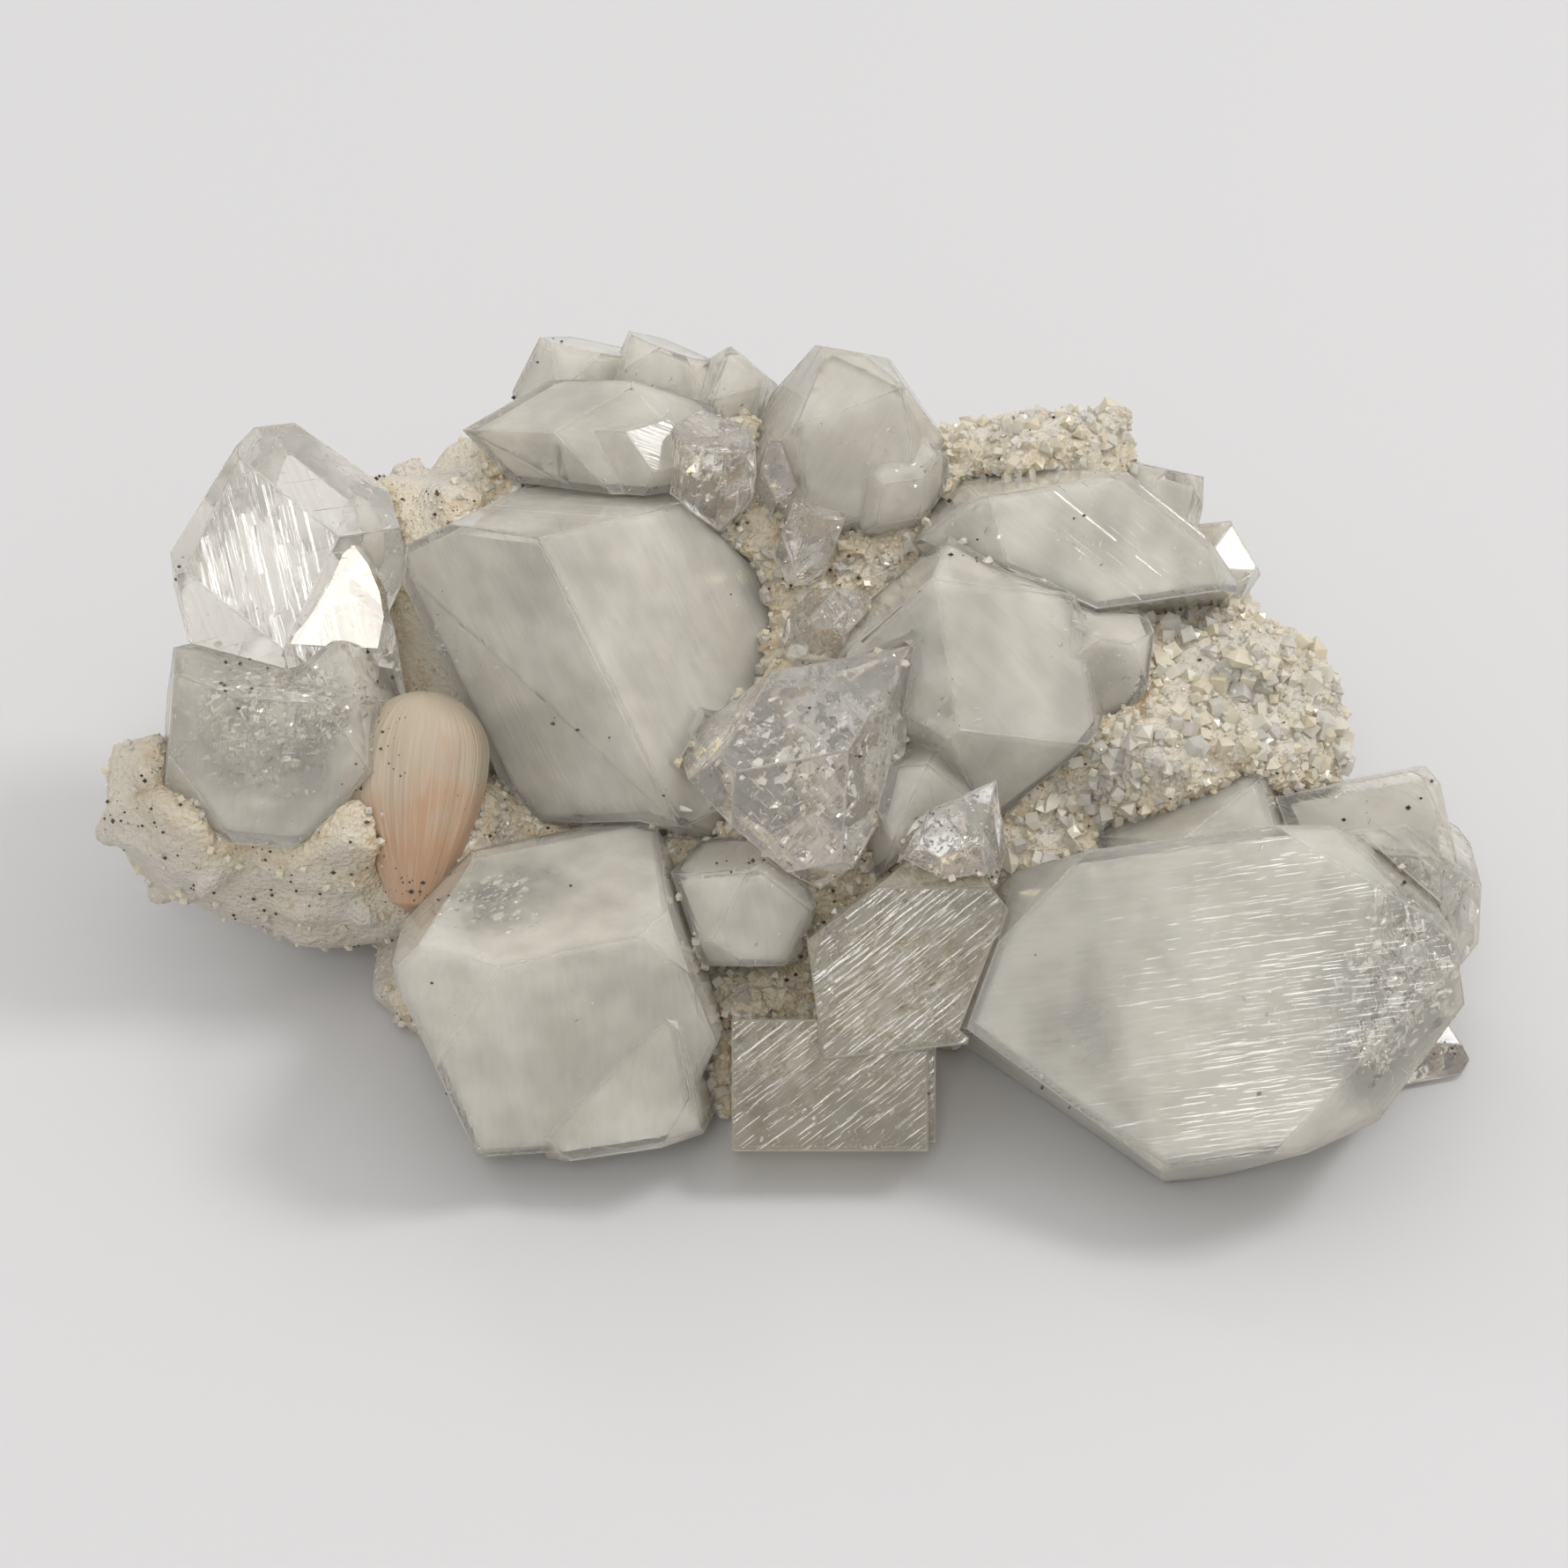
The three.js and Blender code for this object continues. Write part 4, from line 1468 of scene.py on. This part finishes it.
@dataclass
class Plate:
    """A thin clear overgrowth on a crystal's face.

    Attributes:
        name: name of the piece.
        at: a point of its underside in the show frame.
        heading: where the face that carries it looks, in the show face.
        rise: how far that look rises out of the show face.
        outline: its corners along u and v, which are dropped onto the underside's plane.
        thickness: in millimetres.
        slant: how far its rim leans in over that thickness, as a share of it.
    """

    name: str
    at: Triple
    heading: float
    rise: float
    outline: tuple[tuple[float, float], ...]
    thickness: float = 0.5
    slant: float = 0.8
    slot: str = "apophyllite"
    finish: str = "clear_striated"

    def build(self, materials: Materials) -> Piece:
        """Makes the plate.

        Args:
            materials: the finished materials by name.

        Returns:
            The plate.
        """
        facing = show_direction(self.heading, self.rise)
        corners = [Vector(corner) for corner in self.outline]
        middle = sum(corners, Vector((0, 0))) / len(corners)
        points = []
        for lift, pull in ((0.0, 0.0), (self.thickness, self.slant * self.thickness)):
            for corner in corners:
                u, v = corner - (corner - middle).normalized() * pull
                w = self.at[2] - ((u - self.at[0]) * facing.x + (v - self.at[1]) * facing.y) / facing.z
                points.append(show_point(Vector((u, v, w)) + facing * lift))
        count = len(corners)
        faces = [tuple(range(count, 2 * count)), tuple(range(count - 1, -1, -1))]
        for number in range(count):
            after = (number + 1) % count
            faces.append((number, after, count + after, count + number))
        mesh = mesh_from(self.name, points, faces)
        map_uv(mesh, corners)
        mesh.materials.append(materials[self.finish])
        return settle(mesh, self.slot)


PLATES = (
    Plate(
        "upper_left_facet",
        (-30.4, 14.4, 0.2),
        113.0,
        87.1,
        (
            (-29.8, 17.2), (-28.7, 15.8), (-27.8, 13.8), (-27.5, 11.9), (-28.0, 9.6),
            (-31.2, 9.7), (-34.6, 10.0), (-33.0, 12.0), (-31.7, 14.4), (-30.6, 16.6),
        ),
        thickness=2.2,
        slant=0.12,
    ),
    Plate(
        "big_crystal_glint",
        (41.0, -10.6, 17.75),
        78.0,
        82.6,
        ((40.2, -11.2), (41.7, -11.4), (42.0, -10.3), (41.1, -9.7), (40.1, -10.1)),
        thickness=0.12,
    ),
)


# Matrix and druse -------------------------------------------------------------------------------


def vigour(place: Vector) -> float:
    """How well small crystals grow at a place: 0 on the smooth left arm, 1 from the sheaf to the right."""
    return clamp((place.x / MM + 27.0) / 14.0)


def crystal_nodes(frame: dict) -> dict[str, Piece]:
    """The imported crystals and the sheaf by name, in the order of their names."""
    return {name: node for name, node in sorted(frame["nodes"].items()) if name != MATRIX}


@dataclass
class MatrixRock:
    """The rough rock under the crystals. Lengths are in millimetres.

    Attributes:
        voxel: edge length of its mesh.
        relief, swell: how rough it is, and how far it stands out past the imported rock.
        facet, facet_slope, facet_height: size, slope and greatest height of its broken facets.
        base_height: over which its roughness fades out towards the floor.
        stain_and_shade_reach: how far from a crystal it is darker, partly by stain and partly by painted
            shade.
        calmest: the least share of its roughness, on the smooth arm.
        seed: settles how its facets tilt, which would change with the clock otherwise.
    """

    voxel: float = 0.45
    relief: float = 0.3
    facet: float = 1.5
    facet_slope: float = 0.55
    facet_height: float = 0.6
    base_height: float = 0.7
    stain_and_shade_reach: float = 3.2
    swell: float = 0.35
    calmest: float = 0.2
    seed: int = 1

    def build(self, frame: dict, crystals: BVHTree, materials: Materials) -> Piece:
        """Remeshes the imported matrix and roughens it.

        Args:
            crystals: the large crystals, near which the rock is darker.
            materials: the finished materials by name.

        Returns:
            The rock.
        """
        noise.seed_set(self.seed)
        mesh = self._remeshed(frame["nodes"][MATRIX], "matrix_rock")
        normals = [vert.normal.copy() for vert in mesh.vertices]
        for vert, normal in zip(mesh.vertices, normals):
            lift = clamp(vert.co.z / (self.base_height * MM))
            rough = fractal(vert.co, 1.6 * MM, 4) * 0.6 + fractal(vert.co, 5 * MM, 2) * 0.4
            rough = (self.relief * rough + self._facet(vert.co)) * max(self.calmest, vigour(vert.co))
            vert.co += normal * ((rough + self.swell) * MM * lift)
            vert.co.z = max(vert.co.z, 0.0)
        rooms = [room_to(vert.co, crystals) for vert in mesh.vertices]
        # How near each point is to a crystal, for the darkening that is partly stain and partly painted
        # shade.
        mark(mesh, STAIN_AND_SHADE, [clamp(1.0 - abs(room) / MM / self.stain_and_shade_reach) for room in rooms])
        # Marks the rock inside the crystals, which its finish paints near-white as painted light.
        mark(mesh, BURIED, [float(room < 0) for room in rooms])
        mesh.materials.clear()
        mesh.materials.append(materials["matrix_rock"])
        return settle(mesh, MATRIX, [MATRIX])

    def _remeshed(self, source: Piece, name: str) -> bpy.types.Mesh:
        """Rebuilds a closed solid as an even voxel mesh.

        Args:
            source: the object whose mesh is read.
            name: name of the new mesh.

        Returns:
            The new mesh.
        """
        stand_in = new_object(name, source.data.copy())
        modifier = stand_in.modifiers.new("even", "REMESH")
        modifier.mode = "VOXEL"
        modifier.voxel_size = self.voxel * MM
        graph = bpy.context.evaluated_depsgraph_get()
        mesh = bpy.data.meshes.new_from_object(stand_in.evaluated_get(graph))
        bpy.data.objects.remove(stand_in)
        mesh.name = name
        return mesh

    def _facet(self, place: Vector) -> float:
        """Works out the height of a patchwork of tilted facets that meet at edges.

        Args:
            place: in metres.

        Returns:
            The height there, in millimetres.
        """
        spot = place / (self.facet * MM)
        centre = noise.voronoi(spot)[1][0]
        tilt = noise.noise_vector(centre * 7.3)
        height = (spot - centre).dot(tilt) * self.facet_slope * self.facet
        return clamp(height, -self.facet_height, self.facet_height)


@dataclass(frozen=True)
class Spot:
    """A place on a crystal, the surface's normal there and how far off the next piece is, in metres."""

    place: Vector
    normal: Vector
    seam: float


class Surroundings:
    """The rock and the large crystals, as things that small growths lie on or keep clear of."""

    tries = 480
    lowest = 1.0 * MM

    def __init__(self, frame: dict, rock: Piece, crystals: BVHTree) -> None:
        """Finds the open places of every crystal.

        Args:
            rock: the matrix.
            crystals: the search tree of all the large crystals.
        """
        self.rock = rock
        self.crystals = crystals
        self.spots: list[Spot] = []
        stone = tree_of([rock])
        nodes = crystal_nodes(frame)
        trees = {name: tree_of([node]) for name, node in nodes.items()}
        rng = random.Random("spots")
        for name, node in nodes.items():
            others = [stone, *(tree for other, tree in trees.items() if other != name)]
            for place, normal in surface_points(node, self.tries, rng):
                room = min(room_to(place, tree) for tree in others)
                if room > 0 and place.z > self.lowest:
                    self.spots.append(Spot(place, normal, room))


@dataclass(frozen=True)
class DruseKind:
    """One generation of small crystals.

    Attributes:
        count: how many places are tried.
        smallest, largest: half width of its crystals, in millimetres.
        mix: how common each of the druse finishes is.
        seam_only, creeps: whether it keeps close to the large crystals, and whether it grows on them.
    """

    name: str
    count: int
    smallest: float
    largest: float
    mix: Triple = (0.3, 0.4, 0.3)
    seam_only: bool = False
    creeps: bool = False


DRUSE_KINDS = (
    DruseKind("druse_coarse", 12000, 0.28, 1.05, (0.35, 0.35, 0.3)),
    DruseKind("druse_fine", 13000, 0.14, 0.45, (0.25, 0.3, 0.45)),
    DruseKind("druse_seam", 9000, 0.12, 0.6, (0.15, 0.15, 0.7), seam_only=True),
    DruseKind("druse_creeping", 0, 0.1, 0.34, creeps=True),
)
DRUSE_FINISHES = ("druse_clear", "druse_white", "druse_beige")

# A druse crystal's foot, its four sides and the four faces of its point.
DRUSE_FACES = (
    (3, 2, 1, 0),
    *((i, (i + 1) % 4, 4 + (i + 1) % 4, 4 + i) for i in range(4)),
    *((4 + i, 4 + (i + 1) % 4, 8) for i in range(4)),
)


@dataclass
class Druse:
    """The small crystals that cover the matrix and creep up to the large crystals.

    Attributes:
        kind: which generation it is.
        lowest: how many millimetres above the floor it starts.
        closest, seam: how near a large crystal it comes, and how far from one the seam kind reaches.
        creep: how far from the next piece it still creeps up a large crystal.
        sparsest: the least share of the places that are taken, on the smooth arm.
    """

    kind: DruseKind
    lowest: float = 0.5
    closest: float = 0.1
    seam: float = 1.3
    creep: float = 0.8
    sparsest: float = 0.12

    def build(self, near: Surroundings, materials: Materials) -> Piece:
        """Scatters the crystals over the rock, or over the large crystals' feet.

        Args:
            near: the rock and the large crystals.
            materials: the finished materials by name.

        Returns:
            The druse as one object.
        """
        rng = random.Random(self.kind.name)
        found = self._on_crystals(near, rng) if self.kind.creeps else self._on_rock(near, rng)
        crumbs = Crumbs()
        for place, normal, size in found:
            axis = (normal + drift(rng, 0.5)).normalized()
            corners = self._crystal(place, axis, size * MM, rng)
            crumbs.add(corners, DRUSE_FACES, rng.choices((0, 1, 2), self.kind.mix)[0])
        return crumbs.settle(self.kind.name, MATRIX, [materials[name] for name in DRUSE_FINISHES])

    def _on_rock(self, near: Surroundings, rng: random.Random) -> list[tuple[Vector, Vector, float]]:
        """Chooses places on the open rock.

        Args:
            near: the rock and the large crystals.
            rng: the druse's own random numbers.

        Returns:
            Each place with its normal and the crystal's half width in millimetres.
        """
        found = []
        for place, normal in surface_points(near.rock, self.kind.count, rng):
            room = room_to(place, near.crystals) / MM
            if place.z < self.lowest * MM or room < self.closest:
                continue
            if self.kind.seam_only and room > self.seam or rng.random() > max(self.sparsest, vigour(place)):
                continue
            found.append((place, normal, min(self._size(place, rng), 0.25 + 0.5 * room)))
        return found

    def _on_crystals(self, near: Surroundings, rng: random.Random) -> list[tuple[Vector, Vector, float]]:
        """Chooses places where small crystals creep up the large ones. See _on_rock."""
        found = []
        for spot in near.spots:
            if spot.place.z < self.lowest * MM or rng.random() < spot.seam / (self.creep * MM):
                continue
            if fractal(spot.place, 4 * MM, 2) > rng.uniform(-0.4, 0.3):
                size = rng.uniform(self.kind.smallest, self.kind.largest)
                found.append((spot.place, spot.normal, size))
        return found

    def _size(self, place: Vector, rng: random.Random) -> float:
        """Chooses a crystal's size, coarse in patches and finer towards the left arm.

        Args:
            place: where it stands.
            rng: the druse's own random numbers.

        Returns:
            Its half width in millimetres.
        """
        patch = 0.5 + 0.5 * fractal(place, 9 * MM, 3)
        coarse = clamp((place.x / MM + 30) / 50, 0.25)
        share = patch * coarse * rng.random() ** 1.5
        return self.kind.smallest + (self.kind.largest - self.kind.smallest) * share

    @staticmethod
    def _crystal(place: Vector, axis: Vector, size: float, rng: random.Random) -> list[Vector]:
        """Shapes one stubby crystal whose foot is sunk in the rock.

        Args:
            place: where it stands.
            axis: the way that it points.
            size: its half width in metres.
            rng: the druse's own random numbers.

        Returns:
            Four corners of its foot, four of its shoulder and its tip.
        """
        side = axis.orthogonal().normalized()
        side.rotate(Matrix.Rotation(rng.uniform(0, math.tau), 3, axis))
        front = axis.cross(side)
        height = size * rng.uniform(0.5, 1.3)
        blunt = rng.random() < 0.45
        tip = height + size * (rng.uniform(0.05, 0.2) if blunt else rng.uniform(0.6, 1.1))
        rim = []
        for number in range(4):
            angle = number * math.pi / 2
            way = side * math.cos(angle) + front * math.sin(angle)
            rim.append(place + way * size * rng.uniform(0.85, 1.15))
        foot = [corner - axis * size * 0.6 for corner in rim]
        return [*foot, *(corner + axis * height for corner in rim), place + axis * tip]


GRAIN_CORNERS = ((1, 0, 0), (-1, 0, 0), (0, 1, 0), (0, -1, 0), (0, 0, 1), (0, 0, -1))
GRAIN_RINGS = ((4, (0, 2, 1, 3)), (5, (3, 1, 2, 0)))
GRAIN_FACES = tuple((pole, ring[i], ring[(i + 1) % 4]) for pole, ring in GRAIN_RINGS for i in range(4))


@dataclass
class DarkGrains:
    """Near-black mineral grains lodged on the matrix and in the hollows between crystals.

    Attributes:
        count: how many places are tried on the rock.
        smallest, largest: half width of a grain, in millimetres.
        seam: how far from a large crystal the rock still counts as a hollow, in millimetres.
    """

    count: int = 8000
    smallest: float = 0.035
    largest: float = 0.22
    seam: float = 1.2
    seed: int = 5

    def build(self, near: Surroundings, materials: Materials) -> Piece:
        """Scatters the grains. See Druse.build."""
        rng = random.Random(self.seed)
        crumbs = Crumbs()
        for place, normal in self._on_rock(near, rng) + self._on_crystals(near, rng):
            size = (self.smallest + (self.largest - self.smallest) * rng.random() ** 2.2) * MM
            centre = place + normal * 0.3 * size
            corners = [centre + Vector(way) * size * rng.uniform(0.6, 1.3) for way in GRAIN_CORNERS]
            crumbs.add(corners, GRAIN_FACES)
        return crumbs.settle("dark_grains", MATRIX, [materials["dark_mineral"]])

    def _on_rock(self, near: Surroundings, rng: random.Random) -> Spread:
        """Chooses places on the rock, in patches and seams and most of all on the left arm.

        Args:
            near: the rock and the large crystals.
            rng: the grains' own random numbers.

        Returns:
            Each place with its normal.
        """
        found = []
        for place, normal in surface_points(near.rock, self.count, rng):
            room = room_to(place, near.crystals)
            if room < 0 or place.z < near.lowest:
                continue
            crowded = fractal(place, 6 * MM, 3) + (0.25 if room < self.seam * MM else -0.2)
            crowded += 0.3 * (1.0 - vigour(place))
            if crowded > rng.uniform(-0.1, 0.4):
                found.append((place, normal))
        return found

    @staticmethod
    def _on_crystals(near: Surroundings, rng: random.Random) -> Spread:
        """Chooses places on the crystals, thinly spread but for their seams. See _on_rock."""
        found = []
        for spot in near.spots:
            crowded = fractal(spot.place, 5 * MM, 3) + (0.12 if spot.seam < 0.7 * MM else -0.32)
            if crowded > rng.uniform(-0.1, 0.5):
                found.append((spot.place, spot.normal))
        return found


# Stilbite sheaf ---------------------------------------------------------------------------------


@dataclass
class StilbiteSheaf:
    """The fanned sheaf of stilbite blades, gathered at its foot. Lengths are in millimetres.

    Attributes:
        at, heading: its middle in the show frame, and the way that it points in the show face.
        depth: its thickness as a share of its width.
        widest, heel: the shares of its length at which its head is widest and its foot is full.
        shoulder: how far its left side bulges.
        bundle_height, fibre_height: as shares of its half width.
        around, steps: how many points it has round it and along it.
    """

    at: Triple = (-25.3, -0.7, 2.8)
    heading: float = 86.0
    length: float = 15.4
    width: float = 9.0
    foot_width: float = 2.4
    depth: float = 0.72
    widest: float = 0.72
    heel: float = 0.05
    shoulder: float = 1.2
    bundles: int = 11
    bundle_height: float = 0.02
    fibre_height: float = 0.018
    around: int = 264
    steps: int = 150
    seed: int = 3

    def build(self, materials: Materials) -> Piece:
        """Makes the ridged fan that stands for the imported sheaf.

        Args:
            materials: the finished materials by name.

        Returns:
            The sheaf.
        """
        turn = Matrix.Rotation(math.radians(self.heading - 90), 3, "Z")
        rng = random.Random(self.seed)
        rough = [rng.uniform(-1, 1) for _ in range(self.around)]
        after = rough[1:] + rough[:1]
        fibres = [(rough[i - 1] + 2 * rough[i] + after[i]) / 4 for i in range(self.around)]
        points, places, faces = [], [], []
        for step in range(self.steps + 1):
            along = 0.5 - 0.5 * math.cos(math.pi * step / self.steps)
            y = (along - 0.5) * self.length
            for number, fibre in enumerate(fibres):
                angle = math.tau * number / self.around
                half = self._half(along, angle, fibre)
                place = Vector((half * math.cos(angle), y, half * self.depth * math.sin(angle)))
                points.append(show_point(turn @ place + Vector(self.at)))
                places.append((along * self.length, angle * self.width / 2))
        for start in range(0, self.steps * self.around, self.around):
            for number in range(self.around):
                a, b = start + number, start + (number + 1) % self.around
                faces.append((a, b, b + self.around, a + self.around))
        mesh = mesh_from("stilbite_fan", points, faces)
        map_uv(mesh, places)
        bm = bmesh.new()
        bm.from_mesh(mesh)
        bmesh.ops.remove_doubles(bm, verts=bm.verts, dist=0.002 * MM)
        bmesh.ops.recalc_face_normals(bm, faces=bm.faces)
        bm.to_mesh(mesh)
        bm.free()
        mesh.shade_smooth()
        mesh.materials.append(materials["stilbite_silk"])
        return settle(mesh, "stilbite", ["stilbite_sheaf"])

    def _half(self, along: float, angle: float, fibre: float) -> float:
        """Works out the sheaf's half width at a place.

        Args:
            along: share of the length from the foot, at 0, to the fanned head, at 1.
            angle: the place's angle round the sheaf.
            fibre: how high the fibre there stands, from -1 to 1.

        Returns:
            The half width in millimetres, with its ridges and its bulging left side.
        """
        spread = math.sin((math.pi / 2) * min(1.0, along / self.widest))
        fan = (self.foot_width + (self.width - self.foot_width) * spread) / 2
        crown = math.sqrt(max(0.0, 1 - max(0.0, (along - self.widest) / (1 - self.widest)) ** 2))
        taper = min(1.0, 4 * along * (1 - along))
        ridge = 1 + self.bundle_height * math.cos(self.bundles * angle) * taper
        ridge += self.fibre_height * fibre * taper
        leftward = max(0.0, -math.cos(angle)) ** 2
        bulge = self.shoulder * leftward * math.exp(-(((along - 0.55) / 0.16) ** 2))
        return fan * crown * min(1.0, along / self.heel) * ridge + bulge


# Studio -----------------------------------------------------------------------------------------


@dataclass(frozen=True)
class Panel:
    """A soft square light that faces the cluster: its place and side in metres, its power in watts."""

    name: str
    place: Triple
    side: float
    power: float


PANELS = (
    Panel("front_panel", (-0.095, -0.62, 0.667), 0.17, 0.95),
    Panel("right_panel", (0.52, 0.08, 0.70), 0.26, 2.6),
    Panel("rear_panel", (-0.25, 0.62, 0.55), 0.2, 0.4),
)


@dataclass
class Studio:
    """Pale floor, soft light and the camera. Lengths are in metres, but for the lens.

    Attributes:
        aim: what the camera and the panels look at.
        elevation, distance, lens: how steeply the camera looks down, from how far and how long its lens is.
        horizon, overhead: how bright the surround is there.
        floor: half the side of the table top.
    """

    aim: Triple = (0.000029, -0.002456, 0.014967)
    elevation: float = 40.0
    distance: float = 0.330
    lens: float = 109.46
    horizon: float = 0.74
    overhead: float = 1.14
    floor: float = 3.0

    def build(self, materials: Materials) -> None:
        """Makes the whole studio.

        Args:
            materials: the finished materials by name.
        """
        self._floor(materials["studio_floor"])
        self._world()
        for panel in PANELS:
            self._light(panel)
        self._camera()
        self._light_paths()
        bpy.context.scene.view_settings.view_transform = "Standard"

    def _floor(self, material: bpy.types.Material) -> None:
        """Lays a wide flat table top at the height that the cluster rests on.

        Args:
            material: its finish.
        """
        ends = ((-1, -1), (1, -1), (1, 1), (-1, 1))
        corners = [Vector((self.floor * x, self.floor * y, 0)) for x, y in ends]
        mesh = mesh_from("studio_floor", corners, [(0, 1, 2, 3)])
        mesh.materials.append(material)
        new_object("studio_floor", mesh)

    def _world(self) -> None:
        """Makes a pale surround that brightens overhead."""
        world = bpy.data.worlds.new("studio_air")
        world.use_nodes = True
        wiring = Wiring(world.node_tree)
        background = world.node_tree.nodes["Background"].inputs
        wiring.feed(background["Color"], (1.0, 0.995, 0.99))
        height = wiring.add("SeparateXYZ", {0: wiring.add("TexCoord").outputs["Generated"]}).outputs["Z"]
        share = wiring.math("POWER", wiring.math("MAXIMUM", height, 0.0), 3.0)
        wiring.feed(background["Strength"], wiring.between(share, self.horizon, self.overhead))
        bpy.context.scene.world = world

    @staticmethod
    def _light_paths() -> None:
        """Lets light turn often enough inside the clear crystals, which look dark otherwise."""
        cycles = bpy.context.scene.cycles
        cycles.max_bounces = 12
        cycles.transparent_max_bounces = 12
        cycles.glossy_bounces = 7
        cycles.transmission_bounces = 10
        cycles.diffuse_bounces = 4

    def _light(self, panel: Panel) -> None:
        """Hangs a panel so that it faces the cluster.

        Args:
            panel: the light.
        """
        data = bpy.data.lights.new(panel.name, "AREA")
        data.shape = "RECTANGLE"
        data.size = data.size_y = panel.side
        data.energy = panel.power
        lamp = new_object(panel.name, data)
        lamp.location = panel.place
        lamp.rotation_euler = (Vector(self.aim) - Vector(panel.place)).to_track_quat("-Z", "Y").to_euler()

    def _camera(self) -> None:
        """Sets a long lens that looks down at the cluster from the front."""
        data = bpy.data.cameras.new("camera")
        data.lens = self.lens
        data.sensor_width = 36.0
        data.clip_start = 0.01
        camera = new_object("camera", data)
        tilt = math.radians(self.elevation)
        camera.location = Vector(self.aim) + self.distance * Vector((0, -math.cos(tilt), math.sin(tilt)))
        camera.rotation_euler = (math.pi / 2 - tilt, 0.0, 0.0)
        bpy.context.scene.camera = camera


# Build ------------------------------------------------------------------------------------------


def main() -> None:
    """Builds the cluster's look in order."""
    logging.basicConfig(level=logging.INFO, format="%(message)s")
    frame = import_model()
    effects = Effects()
    materials = {finish.name: finish.build(effects) for finish in FINISHES}
    Studio().build(materials)
    for crystal in CRYSTALS:
        crystal.build(frame, materials)
    for plate in PLATES:
        plate.build(materials)
    crystals = tree_of(crystal_nodes(frame).values())
    rock = MatrixRock().build(frame, crystals, materials)
    near = Surroundings(frame, rock, crystals)
    for kind in DRUSE_KINDS:
        Druse(kind).build(near, materials)
    DarkGrains().build(near, materials)
    StilbiteSheaf().build(materials)


if __name__ == "__main__":
    main()
